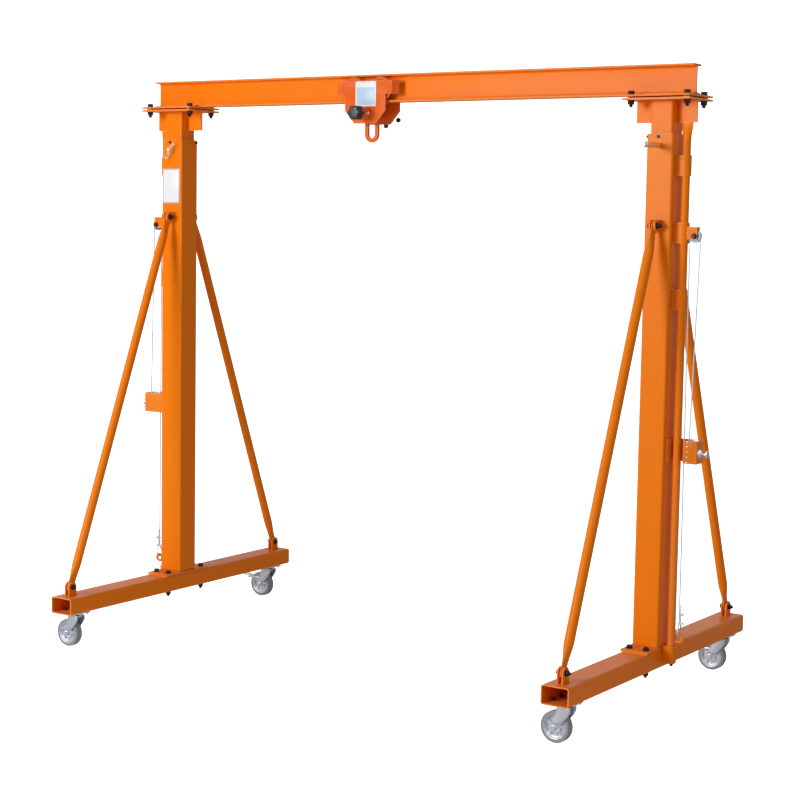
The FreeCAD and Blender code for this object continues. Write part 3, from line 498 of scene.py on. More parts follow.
def moulded(name, colour, deep, roughness, metallic=0.0, peel=300.0, strength=0.25, wear_and_highlight=0.2):
    """Plastic, rubber or blackened steel with a fine moulded or oxide texture."""
    material, tree, shader = new_material(name)
    mottle = use(tree, MOTTLE, Drift_Scale=14.0, Grain_Scale=peel)
    body = blend_colour(tree, mottle.outputs["Drift"], colour, deep)
    edge = use(tree, EDGE_WEAR_AND_HIGHLIGHT, Width=0.0012, Amount=wear_and_highlight, Breakup=120.0)
    bright = tuple(min(1.0, part * 1.6 + 0.10) for part in colour)
    link(tree, blend_colour(tree, edge.outputs["Mask"], body, bright), shader.inputs["Base Color"])
    fill(shader, Metallic=metallic)
    link(tree, span_of(tree, mottle.outputs["Grain"], roughness - 0.08, roughness + 0.1),
         shader.inputs["Roughness"])
    bump(tree, shader, mottle.outputs["Grain"], strength, 0.0003)
    return material


ORANGE = enamel("orange_enamel", (0.95, 0.222, 0.0), (0.89, 0.196, 0.0), 0.30)
TROLLEY = enamel("trolley_enamel", (0.87, 0.135, 0.006), (0.79, 0.112, 0.004), 0.28)
ZINC = metal("bright_zinc", (0.74, 0.79, 0.86), (0.56, 0.61, 0.68), 0.24, 0.44, (1, 1, 0.3), 60.0)
CAST = metal("cast_wheel", (0.74, 0.78, 0.84), (0.54, 0.58, 0.64), 0.26, 0.48, (1, 1, 1), 240.0, 0.3)
CHROME = metal("polished_pin", (0.86, 0.87, 0.89), (0.72, 0.73, 0.76), 0.22, 0.36, (1, 8, 1), 90.0, 0.05)
WIRE = metal("galvanised_wire", (0.66, 0.70, 0.77), (0.42, 0.45, 0.50), 0.40, 0.62, (1, 1, 1), 300.0, 0.2)
BOLT = moulded("black_oxide", (0.022, 0.022, 0.025), (0.035, 0.033, 0.033), 0.38, 0.85, 400.0, 0.15)
SHEAVE_STEEL = moulded("sheave_steel", (0.20, 0.23, 0.29), (0.15, 0.17, 0.21), 0.40, 0.8, 300.0, 0.2)
KNOB = moulded("knob_plastic", (0.018, 0.018, 0.020), (0.030, 0.030, 0.032), 0.34, 0.0, 500.0, 0.2)
TREAD = moulded("tread_nylon", (0.30, 0.32, 0.34), (0.22, 0.24, 0.26), 0.55, 0.0, 380.0, 0.25)
WHITE = moulded("label_white", (0.86, 0.87, 0.88), (0.80, 0.81, 0.83), 0.35, 0.0, 200.0, 0.05)
SILVER = moulded("label_silver", (0.52, 0.53, 0.55), (0.46, 0.47, 0.49), 0.35, 0.0, 200.0, 0.05)
BLUE = moulded("label_blue", (0.50, 0.66, 0.84), (0.44, 0.60, 0.80), 0.35, 0.0, 200.0, 0.05)


def weld_metal():
    """Painted weld beads, with the ripples left by each pass."""
    material, tree, shader = new_material("painted_weld")
    place = add(tree, "TexCoord")
    wave = add(tree, "TexWave")
    wave.wave_type = "BANDS"
    wave.bands_direction = "DIAGONAL"
    fill(wave, Scale=55.0, Distortion=1.5)
    link(tree, place.outputs["Object"], wave.inputs["Vector"])
    mottle = use(tree, MOTTLE, Drift_Scale=30.0, Grain_Scale=500.0)
    body = blend_colour(tree, mottle.outputs["Drift"], (0.86, 0.18, 0.012), (0.62, 0.10, 0.008))
    link(tree, body, shader.inputs["Base Color"])
    link(tree, span_of(tree, wave.outputs["Fac"], 0.3, 0.45), shader.inputs["Roughness"])
    bump(tree, shader, wave.outputs["Fac"], 0.6, 0.0012)
    fill(shader, Specular_IOR_Level=PAINT_SPECULAR, Coat_Weight=PAINT_COAT)
    return material


WELD = weld_metal()

SLOT_MATERIALS = {"orange_paint": ORANGE, "trolley_paint": TROLLEY, "zinc_steel": ZINC,
                  "wire_rope": WIRE, "chrome_pin": CHROME, "black_plastic": KNOB,
                  "caster_wheel": CAST}
for part in record["subparts"]:
    holder = frame["nodes"][part["node"]]
    holder.data.materials.clear()
    holder.data.materials.append(SLOT_MATERIALS[part["material_slot"]])


def finish(piece, material, body, replaces=()):
    """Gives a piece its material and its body."""
    piece.data.materials.clear()
    piece.data.materials.append(material)
    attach(piece, body)
    if replaces:
        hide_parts(*replaces)
    return piece


def both_legs(pieces, label, material, body, replaces=None):
    """Joins and finishes the right leg's pieces, and the left leg's copy, half a turn about."""
    piece = join(pieces, label)
    half_turned = copy(piece, "left_" + label, turn=HALF_TURN)
    piece.name = piece.data.name = "right_" + label
    for side, twin in (("right", piece), ("left", half_turned)):
        hidden = [side + "_" + replaces] if replaces else ()
        finish(twin, material, body.replace("LEG", side), hidden)


# ---------------------------------------------------------------- runway beam

BEAM_Z = 2.570
BEAM_HIGH = 0.126
BEAM_LONG = 2.9
BEAM_MIDDLE = BEAM_Z + BEAM_HIGH / 2
FLANGE = 0.0084
HALF_WEB = 0.003
HALF_BEAM = 0.037
NEAR = 1e-4
HEAD_BOLTS = [(sx * 0.127, sy * 0.080) for sx in (-1, 1) for sy in (-1, 1)]

beam = begin("plane", "runway_beam", size=1, rotation=(0, pi / 2, 0))
seat(beam)
pick_all()
bpy.ops.transform.resize(value=(1, 2 * HALF_WEB, BEAM_HIGH - 2 * FLANGE))
nudge(-BEAM_LONG / 2, 0, BEAM_MIDDLE)
shut()


def both_ends(edge, test):
    return all(test(beam.data.vertices[v].co) for v in edge.vertices)


def along(edge, test):
    """Whether an edge runs along the beam and both its ends pass the test."""
    start, end = (beam.data.vertices[v].co for v in edge.vertices)
    return abs(start.x - end.x) > 1 and both_ends(edge, test)


for way in (-1, 1):
    level = BEAM_MIDDLE + way * (BEAM_HIGH / 2 - FLANGE)
    tip = level + way * FLANGE
    pick(beam, lambda edge: both_ends(edge, lambda co: abs(co.z - level) < NEAR), "EDGE")
    push(z=way * FLANGE)
    shut()
    for side in (-1, 1):
        pick(beam, lambda edge: both_ends(edge, lambda co: abs(co.y - side * HALF_WEB) < NEAR
                                          and min(level, tip) - NEAR < co.z < max(level, tip) + NEAR), "EDGE")
        push(y=side * (HALF_BEAM - HALF_WEB))
        shut()
pick_all()
push(x=BEAM_LONG)
shut()
outward(beam)
pick(beam, lambda edge: along(edge, lambda co: abs(abs(co.y) - HALF_WEB) < NEAR and
                              abs(abs(co.z - BEAM_MIDDLE) - BEAM_HIGH / 2 + FLANGE) < NEAR), "EDGE")
bpy.ops.mesh.bevel(offset=0.009, segments=5, affect="EDGES")
shut()
pick(beam, lambda edge: along(edge, lambda co: abs(abs(co.y) - HALF_BEAM) < NEAR), "EDGE")
bpy.ops.mesh.bevel(offset=0.0016, segments=3, affect="EDGES")
shut()
outward(beam)
smooth(beam, 30)

plates = []
for way in (-1, 1):
    plates.append(slab("end_plate", (way * SPAN - 0.152, -0.114, 2.562), (way * SPAN + 0.152, 0.114, BEAM_Z),
                       0.0014))
    for x, y in HEAD_BOLTS:
        spacer = ring_of("spacer", [(2.5561, 0.010), (2.5561, 0.0142), (2.5568, 0.015), (2.5612, 0.015),
                                    (2.5619, 0.0142), (2.5619, 0.010)], 24)
        plates.append(shift(smooth(spacer), way * SPAN + x, y))
end_plates = join(plates, "beam_end_plates")
finish(beam, ORANGE, "lifting_frame", ["i_beam"])
finish(end_plates, ORANGE, "lifting_frame")


# ---------------------------------------------------------------- weld beads

def bead(points, radius, loop=False):
    return bent_bar("bead", points, radius, loop, resolution=2, sides=2)


def square_bead(half_x, half_y, z, radius):
    """A bead round the foot of a square tube."""
    corners = [(half_x, half_y), (-half_x, half_y), (-half_x, -half_y), (half_x, -half_y)]
    points = []
    for corner, after in zip(corners, corners[1:] + corners[:1]):
        points += [(corner[0] + (after[0] - corner[0]) * t, corner[1] + (after[1] - corner[1]) * t, z)
                   for t in (0.06, 0.35, 0.65, 0.94)]
    return bead(points, radius, True)


def straight_bead(start, end, radius=0.003):
    return bead([tuple(a + (b - a) * t for a, b in zip(start, end)) for t in (0, 0.25, 0.5, 0.75, 1)], radius)


frame_beads = [shift(square_bead(0.0605, 0.0605, 0.2632, 0.0045), SPAN)]
for way in (-1, 1):
    for x in (SPAN - 0.0142, SPAN + 0.0142):
        frame_beads.append(straight_bead((x, way * 0.748, 0.2528), (x, way * 0.796, 0.2528)))
        frame_beads.append(straight_bead((x, way * 0.0608, 2.011), (x, way * 0.0608, 2.057)))
for z_low in (2.239, 1.963, 1.687):
    for y in (-0.0335, 0.0335):
        x = SPAN + 0.0615
        frame_beads.append(straight_bead((x, y, z_low + 0.004), (x, y, z_low + 0.082)))
for y in (-0.0225, 0.0225):
    frame_beads.append(straight_bead((SPAN + 0.0635, y, 0.200), (SPAN + 0.0635, y, 0.246)))
both_legs(frame_beads, "frame_welds", WELD, "frame")

post_beads = [shift(square_bead(0.0500, 0.0500, 2.5472, 0.004), SPAN)]
for way in (-1, 1):
    for y in (-0.0062, 0.0062):
        for start, end in (((0.054, 2.547), (0.134, 2.547)), ((0.0505, 2.462), (0.0505, 2.542))):
            post_beads.append(straight_bead((SPAN + way * start[0], y, start[1]),
                                            (SPAN + way * end[0], y, end[1]), 0.0025))
for y in (-0.0385, 0.0385):
    post_beads.append(straight_bead((SPAN - 0.148, y, 2.5712), (SPAN + 0.125, y, 2.5712)))
both_legs(post_beads, "head_welds", WELD, "lifting_frame")


# ---------------------------------------------------------------- braces

BRACE_FOOT = (0.772, 0.294)
BRACE_HEAD = (0.090, 2.034)
run = BRACE_FOOT[0] - BRACE_HEAD[0]
rise = BRACE_HEAD[1] - BRACE_FOOT[1]
length = sqrt(run * run + rise * rise)
end_run = [(-0.0208, 0.0052, 0.012), (-0.0190, 0.0066, 0.0150), (-0.0150, 0.0070, 0.0188),
           (-0.004, 0.0070, 0.0218), (0.030, 0.0070, 0.0222), (0.042, 0.0078, 0.0222), (0.060, 0.0108, 0.0220),
           (0.082, 0.0158, 0.0214), (0.104, 0.0196, 0.0210), (0.124, 0.0209, 0.0210)]
sections = end_run + [(length - z, half_x, half_y) for z, half_x, half_y in reversed(end_run)]
brace = smooth(stack("brace", sections, 28), 50)
for leg, x_sign in LEGS:
    for where, y_sign in SIDES:
        twin = copy(brace, "%s_brace_%s_tube" % (leg, where), x_sign * SPAN, y_sign * BRACE_FOOT[0],
                    BRACE_FOOT[1], (y_sign * atan2(run, rise), 0, 0))
        finish(twin, ORANGE, "frame", ["%s_brace_%s" % (leg, where)])
bpy.data.objects.remove(brace)


# ---------------------------------------------------------------- lift tube

TUBE_X = 1.414
EYE_X = 1.448
low = 0.205
lifter = stack("lifter", [(low, 0.0140, 0.0140), (low, 0.0165, 0.0165), (low + 0.0008, 0.017, 0.017),
                          (2.372, 0.017, 0.017), (2.392, 0.0175, 0.0163), (2.414, 0.0208, 0.0125),
                          (2.434, 0.0245, 0.0078), (2.446, 0.0265, 0.0052), (2.4576, 0.027, 0.005)], 28)
shift(smooth(lifter, 50), TUBE_X)
eye_side = [(0.004, 0.011), (0.004, 0.0212), (0.0032, 0.022)]
eye_plate = shift(smooth(ring_of("eye_plate", mirrored(eye_side), 40), 40), EYE_X, 0, 0.307, TO_Y)
tab = slab("tab", (1.426, -0.004, 0.286), (1.4385, 0.004, 0.328), 0.0012)
both_legs([lifter, eye_plate, tab], "lift_tube_turned", ORANGE, "lifting_frame", "lift_tube")


# ---------------------------------------------------------------- bolts

def placed(piece, spots, turn=(0, 0, 0)):
    """Copies of a piece at each spot, turned first; the pattern piece is removed."""
    twins = [copy(piece, "fastener", *spot, turn=turn) for spot in spots]
    bpy.data.objects.remove(piece)
    return join(twins, "fasteners")


def bolts(spots, bolt, bolt_z, nut, nut_z, shank, shank_z):
    """A bolt above, and a nut and a thread end below, at each spot of the right leg."""
    levels = ((hex_head(*bolt), bolt_z, (0, 0, 0)), (hex_head(*nut), nut_z, DOWN),
              (thread(*shank), shank_z, DOWN))
    return [placed(piece, [(SPAN + x, y, z) for x, y in spots], turn) for piece, z, turn in levels]


head_parts = bolts(HEAD_BOLTS, (0.024, 0.0125, 0.003), BEAM_Z, (0.024, 0.013, 0.003), 2.548,
                   (0.0078, 0.026), 2.546)
both_legs(head_parts, "head_bolts", BOLT, "lifting_frame")

foot_spots = [(sx * 0.039, sy * 0.124) for sx in (-1, 1) for sy in (-1, 1)]
foot_parts = bolts(foot_spots, (0.022, 0.011, 0.003), 0.262, (0.022, 0.012, 0.003), 0.172,
                   (0.0068, 0.024), 0.172)
for y_sign in (-1, 1):
    for y, z in (BRACE_FOOT, BRACE_HEAD):
        foot_parts.append(shift(hex_head(0.020, 0.009, 0.0025), SPAN - 0.0140, y_sign * y, z, TO_MINUS_X))
        for piece in (hex_head(0.020, 0.0105, 0.0025), thread(0.0058, 0.021)):
            foot_parts.append(shift(piece, SPAN + 0.0140, y_sign * y, z, TO_X))
    caster_spots = [(SPAN + sx * 0.040, y_sign * CASTER_Y + dy) for sx in (-1, 1) for dy in (-0.032, 0.032)]
    foot_parts.append(placed(hex_head(0.014, 0.008, 0.002), [(x, y, 0.177) for x, y in caster_spots]))
    foot_parts.append(placed(hex_head(0.014, 0.006), [(x, y, 0.166) for x, y in caster_spots], DOWN))
both_legs(foot_parts, "frame_bolts", BOLT, "frame")


# ---------------------------------------------------------------- casters

AXLE = (-0.042, 0.065)


def caster_wheel():
    """A cast wheel with five pockets on each side, turned about Y, and its tread."""
    facets = 60
    side = [(0.022, 0.0075), (0.022, 0.0165), (0.0205, 0.018), (0.011, 0.021), (0.010, 0.023), (0.010, 0.0425),
            (0.0115, 0.0445), (0.0172, 0.0465), (0.0182, 0.0475), (0.0182, 0.0512)]
    core = ring_of("wheel_core", mirrored(side), facets)
    for way in (-1, 1):
        def in_pocket(face):
            centre = face.center
            radius = sqrt(centre.x ** 2 + centre.y ** 2)
            sector = int((atan2(centre.y, centre.x) % (2 * pi)) / (2 * pi) * facets)
            return 0.024 < radius < 0.042 and centre.z * way > 0.0095 and sector % 12 < 9
        pick(core, in_pocket)
        bpy.ops.mesh.inset(thickness=0.0012, use_boundary=True)
        push(z=-way * 0.0062)
        resize(0.99, 0.99)
        shut()
    outward(core)
    soften(core, 0.0005, 1, 30)
    tyre = [(0.019, 0.0508), (0.019, 0.0600), (0.0175, 0.0632), (0.0140, 0.0648), (0.006, 0.0650)]
    tread = smooth(ring_of("wheel_tread", mirrored(tyre), 72), 40)
    for piece in (core, tread):
        shift(piece, AXLE[0], 0, AXLE[1], TO_Y)
    return core, tread


def caster_fork(braked):
    """The pressed fork: two ribbed cheeks under a round crown, with its axle bolt."""
    cheek = begin("cube", "cheek", size=1, location=(0, 0.025, 0.1515), scale=(0.062, 0.004, 0.005))
    seat(cheek)
    pick(cheek, lambda face: face.normal.z < -0.9)
    for x, z, wide in ((0.0, -0.014, 1.0), (-0.009, -0.020, 0.92), (-0.014, -0.022, 0.84),
                       (-0.012, -0.016, 0.84)):
        push(x=x, z=z)
        bpy.ops.transform.resize(value=(wide, 1, 1))
    shut()
    pick(cheek, lambda face: face.normal.y > 0.9)
    bpy.ops.mesh.inset(thickness=0.008)
    nudge(y=0.0016)
    shut()
    boss = turned("boss", [(0.023, 0.016), (0.0262, 0.017), (0.027, 0.0165), (0.027, 0.011), (0.0278, 0.0105)],
                  28)
    shift(boss, AXLE[0], 0, AXLE[1], TO_Y)
    parts = [soften(cheek, 0.0012), smooth(boss)]
    if braked:
        parts.append(slab("pedal_arm", (-0.119, 0.0235, 0.093), (-0.030, 0.0268, 0.1035), 0.0012))
    side = join(parts, "fork_side")
    modify(side, "MIRROR", use_axis=(False, True, False), use_clip=False, merge_threshold=1e-6)
    crown = slab("crown", (-0.031, -0.027, 0.149), (0.031, 0.027, 0.154), 0.0022, 3)
    dome = smooth(turned("dome", [(0.144, 0.010), (0.147, 0.026), (0.1492, 0.031), (0.155, 0.0335),
                                  (0.1562, 0.0325), (0.1562, 0.012)], 40))
    parts = [side, crown, dome]
    if braked:
        pedal = begin("cube", "pedal", size=1, location=(-0.114, 0, 0.1015), scale=(0.014, 0.054, 0.005))
        seat(pedal)
        pick(pedal, lambda face: face.normal.x < -0.9)
        for x, z, wide in ((-0.006, 0.0006, 0.82), (-0.012, 0.002, 0.94), (-0.010, 0.0005, 1.0),
                           (-0.004, -0.0004, 0.9)):
            push(x=x, z=z)
            bpy.ops.transform.resize(value=(1, wide, 1))
        shut()
        parts.append(soften(pedal, 0.0012))
        for i in range(4):
            x = i * 0.006 - 0.1395
            parts.append(slab("rib", (x, -0.014, 0.1045), (x + 0.0025, 0.014, 0.1075)))
    fork = join(parts, "caster_fork")
    ends = [shift(hex_head(0.019, 0.006), AXLE[0], y, AXLE[1], turn)
            for y, turn in ((-0.0268, TO_MINUS_Y), (0.0268, TO_Y))]
    return fork, join(ends, "axle_ends")


def caster_mount():
    """The top plate with the upper ball race under it."""
    plate = slab("plate", (-0.0525, -0.0425, 0.166), (0.0525, 0.0425, 0.172), 0.0015)
    race = smooth(turned("race", [(0.1556, 0.010), (0.1556, 0.0300), (0.1570, 0.0318), (0.1600, 0.0320),
                                  (0.1640, 0.0300), (0.1662, 0.0300)], 40))
    return join([plate, race], "caster_mount")


wheel_core, wheel_tread = caster_wheel()
mount = caster_mount()
forks = {False: caster_fork(False), True: caster_fork(True)}
for leg, x_sign in LEGS:
    for where, y_sign in SIDES:
        at = (x_sign * SPAN, y_sign * CASTER_Y, 0)
        tag = "%s_%s" % (leg, where)
        fork, ends = forks[where == "far"]
        finish(copy(mount, tag + "_mount", *at), ZINC, "frame", [tag + "_caster_plate"])
        finish(copy(fork, tag + "_pressed_fork", *at), ZINC, tag + "_fork",
               [tag + "_caster_fork"])
        finish(copy(ends, tag + "_axle_ends", *at), ZINC, tag + "_fork")
        finish(copy(wheel_core, tag + "_wheel_core", *at), CAST, tag + "_wheel",
               [tag + "_caster_wheel"])
        finish(copy(wheel_tread, tag + "_wheel_tread", *at), TREAD, tag + "_wheel")
for pattern in (wheel_core, wheel_tread, mount) + forks[False] + forks[True]:
    bpy.data.objects.remove(pattern)


# ---------------------------------------------------------------- sheave and its bolt

SHEAVE = (1.465, 1.994)
side = [(0.007, 0.0061), (0.007, 0.0110), (0.0052, 0.0120), (0.0052, 0.0178), (0.007, 0.0190), (0.007, 0.0262),
        (0.0063, 0.0270), (0.0047, 0.0270), (0.0034, 0.0242), (0.0024, 0.0218)]
wheel = smooth(ring_of("grooved_sheave", mirrored(side, [(0, 0.0207)]), 56), 40)
shift(wheel, SHEAVE[0], 0, SHEAVE[1], TO_Y)
both_legs([wheel], "grooved_sheave", SHEAVE_STEEL, "LEG_sheave", "sheave")

both_legs([shift(hex_head(0.018, 0.007, 0.002), SHEAVE[0], -0.013, SHEAVE[1], TO_MINUS_Y),
           shift(hex_head(0.018, 0.008, 0.002), SHEAVE[0], 0.013, SHEAVE[1], TO_Y)],
          "sheave_bolt", BOLT, "frame")


# ---------------------------------------------------------------- wire rope

ROPE = 0.003
LAY = 0.036


def rope_section():
    """The lobed section of a six-strand rope."""
    bpy.ops.curve.primitive_bezier_circle_add(radius=ROPE)
    section = bpy.context.object
    section.data.splines.clear()
    spline = section.data.splines.new("POLY")
    count = 30
    spline.points.add(count - 1)
    for i, point in enumerate(spline.points):
        angle = 2 * pi * i / count
        radius = ROPE * (0.80 + 0.20 * abs(cos(3 * angle)) ** 0.7)
        point.co = (radius * cos(angle), radius * sin(angle), 0, 1)
    spline.use_cyclic_u = True
    return section


def laid_rope(name, points, kind="POLY"):
    """A rope along a run of points, its strands turning once in each lay."""
    section = rope_section()
    bpy.ops.curve.primitive_nurbs_path_add()
    run = bpy.context.object
    run.data.splines.clear()
    spline = run.data.splines.new(kind)
    spline.points.add(len(points) - 1)
    travelled = 0.0
    previous = points[0]
    for point, spot in zip(spline.points, points):
        travelled += sqrt(sum((a - b) ** 2 for a, b in zip(spot, previous)))
        previous = spot
        point.co = spot + (1,)
        point.tilt = 2 * pi * travelled / LAY
    if kind == "NURBS":
        spline.order_u = 3
        spline.use_endpoint_u = True
        spline.resolution_u = 6
    run.data.dimensions = "3D"
    run.data.twist_mode = "MINIMUM"
    run.data.bevel_mode = "OBJECT"
    run.data.bevel_object = section
    run.data.use_fill_caps = True
    only(run)
    bpy.ops.object.convert(target="MESH")
    piece = bpy.context.object
    piece.name = piece.data.name = name
    bpy.data.objects.remove(section)
    seat(piece)
    outward(piece)
    return smooth(piece, 60)


def straight(start, end, step=0.0045):
    count = max(2, int(sqrt(sum((a - b) ** 2 for a, b in zip(start, end))) / step))
    return [tuple(a + (b - a) * i / count for a, b in zip(start, end)) for i in range(1, count + 1)]


DRUM = (1.487, 1.125)
PITCH_RADIUS = 0.024
WIND_RADIUS = 0.0203
TURN_PITCH = 0.0063
TURN_STEPS = 24
EYE_TOP = 0.460
for leg, x_sign, wound in (("right", 1, -1), ("left", -1, 1)):
    points = [(SHEAVE[0] - PITCH_RADIUS * cos(pi * i / 20), 0.0, SHEAVE[1] + PITCH_RADIUS * sin(pi * i / 20))
              for i in range(21)]
    points += straight(points[-1], (DRUM[0] + wound * WIND_RADIUS, 0.0, DRUM[1]))
    for i in range(1, 3 * TURN_STEPS + 1):
        angle = (pi if wound < 0 else 0) - 2 * pi * i / TURN_STEPS
        points.append((DRUM[0] + WIND_RADIUS * cos(angle), wound * TURN_PITCH * i / TURN_STEPS,
                       DRUM[1] + WIND_RADIUS * sin(angle)))
    rope = laid_rope(leg + "_laid_rope", points)
    lower = laid_rope("lower_turns", [(DRUM[0] + WIND_RADIUS * cos(2 * pi * i / TURN_STEPS),
                                       -wound * TURN_PITCH * (1 + i / TURN_STEPS),
                                       DRUM[1] + WIND_RADIUS * sin(2 * pi * i / TURN_STEPS))
                                      for i in range(2 * TURN_STEPS + 1)])
    rope = join([rope, lower], leg + "_laid_rope")
    top = (SHEAVE[0] - PITCH_RADIUS, 0.0, SHEAVE[1])
    run = laid_rope(leg + "_laid_run", [top] + straight(top, (EYE_X, 0.0, EYE_TOP), 0.0055))
    if x_sign < 0:
        shift(rope, turn=HALF_TURN)
        shift(run, turn=HALF_TURN)
    finish(rope, WIRE, "frame", [leg + "_hoist_rope"])
    finish(run, WIRE, "lifting_frame", [leg + "_rope_run"])
    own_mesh(run)

eye_points = [(0.0, 0.0, EYE_TOP), (0.0, 0.0, 0.420), (0.0, 0.0, 0.380), (0.0, -0.004, 0.362),
              (0.0, -0.013, 0.346), (0.0, -0.018, 0.330), (0.0, -0.014, 0.316), (0.0, 0.0, 0.3125),
              (0.0, 0.014, 0.316), (0.0, 0.018, 0.330), (0.001, 0.013, 0.346), (0.0045, 0.004, 0.362),
              (0.0065, 0.0, 0.380), (0.0065, 0.0, 0.410), (0.0065, 0.0, 0.4535)]
both_legs([shift(laid_rope("eye_rope", eye_points, "NURBS"), EYE_X)], "eye_rope", WIRE, "lifting_frame",
          "rope_eye")

clips = []
u_bar = [(0.020, 0.0062), (0.012, 0.0062), (0.0, 0.0062), (-0.0048, 0.0045), (-0.0060, 0.0)]
u_bar = [(x, -y, 0) for x, y in u_bar] + [(x, y, 0) for x, y in reversed(u_bar[:-1])]
for z in (0.368, 0.408):
    clips.append(slab("saddle", (EYE_X + 0.0096, -0.0085, z - 0.006), (EYE_X + 0.0132, 0.0085, z + 0.006),
                      0.0012))
    clips.append(shift(bent_bar("u_bar", u_bar, 0.0022), EYE_X, 0, z))
    for y in (-0.0062, 0.0062):
        clips.append(shift(hex_head(0.0076, 0.004), EYE_X + 0.0132, y, z, TO_X))
both_legs(clips, "rope_clips", ZINC, "lifting_frame")


# ---------------------------------------------------------------- winches

for leg, _ in LEGS:
    finish(polished(leg + "_winch_frame", 0.0010), ORANGE, "frame", [leg + "_winch_frame"])
drum_side = [(0.0285, 0.0063), (0.0285, 0.0226), (0.0280, 0.0238), (0.0262, 0.0240), (0.0256, 0.0230),
             (0.0256, 0.0175), (0.0240, 0.0169)]
drum = smooth(ring_of("rope_drum", mirrored(drum_side), 44), 40)
both_legs([shift(drum, DRUM[0], 0, DRUM[1], TO_Y)], "rope_drum", ZINC, "LEG_drum", "winch_drum")

rivet_steps = [(0, 0.0035), (0, 0.0042), (0.0012, 0.0040), (0.0024, 0.0028), (0.0029, 0.0010)]
trim = [shift(smooth(turned("rivet", rivet_steps, 16), 50), 1.475, -0.036, z, TO_MINUS_Y)
        for z in (1.058, 1.080, 1.102, 1.124, 1.144)]
SHAFT = (1.518, -0.012, 1.096)
boss = turned("shaft_boss", [(0, 0.013), (0, 0.0185), (0.003, 0.0185), (0.006, 0.0150), (0.012, 0.0128),
                             (0.0130, 0.0110)], 28)
trim.append(shift(smooth(boss, 40), *SHAFT, TO_X))
flare = turned("shaft_flare", [(0, 0.0080), (0.016, 0.0080), (0.020, 0.0098), (0.034, 0.0142), (0.040, 0.0149),
                               (0.0409, 0.0144), (0.0409, 0.0095), (0.030, 0.0085), (0.030, 0.002)], 28)
both_legs([shift(smooth(flare, 40), *SHAFT, TO_X)], "shaft_flare", CHROME, "frame",
          "winch_shaft")
both_legs(trim, "winch_trim", ZINC, "frame")

gear_teeth = 28
gear = begin("cylinder", "drum_gear", vertices=gear_teeth * 4, radius=0.0205, depth=0.005, location=(0, 0, 0))
seat(gear)
pick(gear, lambda face: abs(face.normal.z) < 0.1
     and int(((atan2(face.center.y, face.center.x) + 0.001) % (2 * pi)) / (2 * pi) * gear_teeth * 4) % 4 < 2)
bpy.ops.mesh.extrude_region_move()
resize(1.12, 1.12, 0.96)
shut()
pick(gear, lambda face: abs(face.normal.z) > 0.9 and face.area > 0.001)
bpy.ops.mesh.inset(thickness=0.004)
resize(1, 1, 0.6)
shut()
shift(smooth(outward(gear), 30), DRUM[0], -0.0225, DRUM[1], TO_Y)
both_legs([gear], "drum_gear", ZINC, "LEG_drum")


# ---------------------------------------------------------------- lock pins

PIN_Z = 2.362
for side, x_sign, out in (("right", 1, 0.217), ("left", -1, 0.115)):
    handle_end = turned("handle_end", [(-out, 0.0060), (-out, 0.0095), (0.0015 - out, 0.0112),
                                       (0.0035 - out, 0.0120), (0.020 - out, 0.0120), (0.021 - out, 0.0111),
                                       (0.025 - out, 0.0111), (0.026 - out, 0.0120), (-0.0525, 0.0120)], 40)
    tail_end = turned("tail_end", [(0.0525, 0.0120), (0.085, 0.0120), (0.0925, 0.0095), (0.094, 0.0080),
                                   (0.094, 0.004)], 40)
    bar = smooth(join([handle_end, tail_end], side + "_pin_bar"), 40)
    shift(bar, SPAN, 0, PIN_Z, TO_Y)
    if x_sign < 0:
        shift(bar, turn=HALF_TURN)
    finish(bar, CHROME, "frame", [side + "_lock_pin"])
clip_points = [(-0.030, 0.086, 0.036), (-0.014, 0.086, 0.012), (0.003, 0.086, -0.016),
               (0.004, 0.085, -0.030),
               (0.012, 0.084, -0.044), (0.023, 0.084, -0.046), (0.027, 0.084, -0.036), (0.019, 0.085, -0.024),
               (0.006, 0.086, -0.014), (-0.002, 0.0865, 0.016), (-0.017, 0.0865, 0.022),
               (-0.034, 0.0865, 0.026)]
spring_clip = shift(bent_bar("spring_clip", clip_points, 0.0018), SPAN, 0, PIN_Z)
both_legs([spring_clip], "spring_clip", CHROME, "frame")
both_legs([shift(hex_head(0.011, 0.006), SPAN + x, y, z, turn)
           for x, y, z, turn in ((-0.007, -0.060, 2.399, TO_MINUS_Y), (0.015, 0.060, 2.400, TO_Y),
                                 (-0.060, -0.047, 2.400, TO_MINUS_X))],
          "stop_screws", BOLT, "frame")


# ---------------------------------------------------------------- trolley

TROLLEY_X = -0.165
ROD_Z = 2.519
WHEEL_Z = 2.6266
WHEEL_APART = 0.073
for side, _ in SIDES:
    finish(polished("trolley_%s_plate" % side, 0.0016, 3), TROLLEY, "trolley",
           ["trolley_%s_plate" % side])

tread_side = [(0.0190, 0.0101), (0.0190, 0.0440), (0.0200, 0.0466), (0.0225, 0.0480), (0.0415, 0.0480),
              (0.0426, 0.0500), (0.0434, 0.0568), (0.0446, 0.0580), (0.0480, 0.0580), (0.0490, 0.0570),
              (0.0490, 0.0470), (0.0455, 0.0450), (0.0455, 0.0230), (0.0490, 0.0215), (0.0490, 0.0101)]
track_wheel = smooth(ring_of("track_wheel", tread_side, 60), 30)
for side, y_sign in SIDES:
    facing = copy(track_wheel, "facing", turn=TO_Y if y_sign > 0 else TO_MINUS_Y)
    for end, way in (("left", -1), ("right", 1)):
        name = "trolley_wheel_%s_%s" % (side, end)
        finish(copy(facing, name + "_turned", TROLLEY_X + way * WHEEL_APART, 0, WHEEL_Z), TROLLEY, name,
               [name])
    bpy.data.objects.remove(facing)
bpy.data.objects.remove(track_wheel)

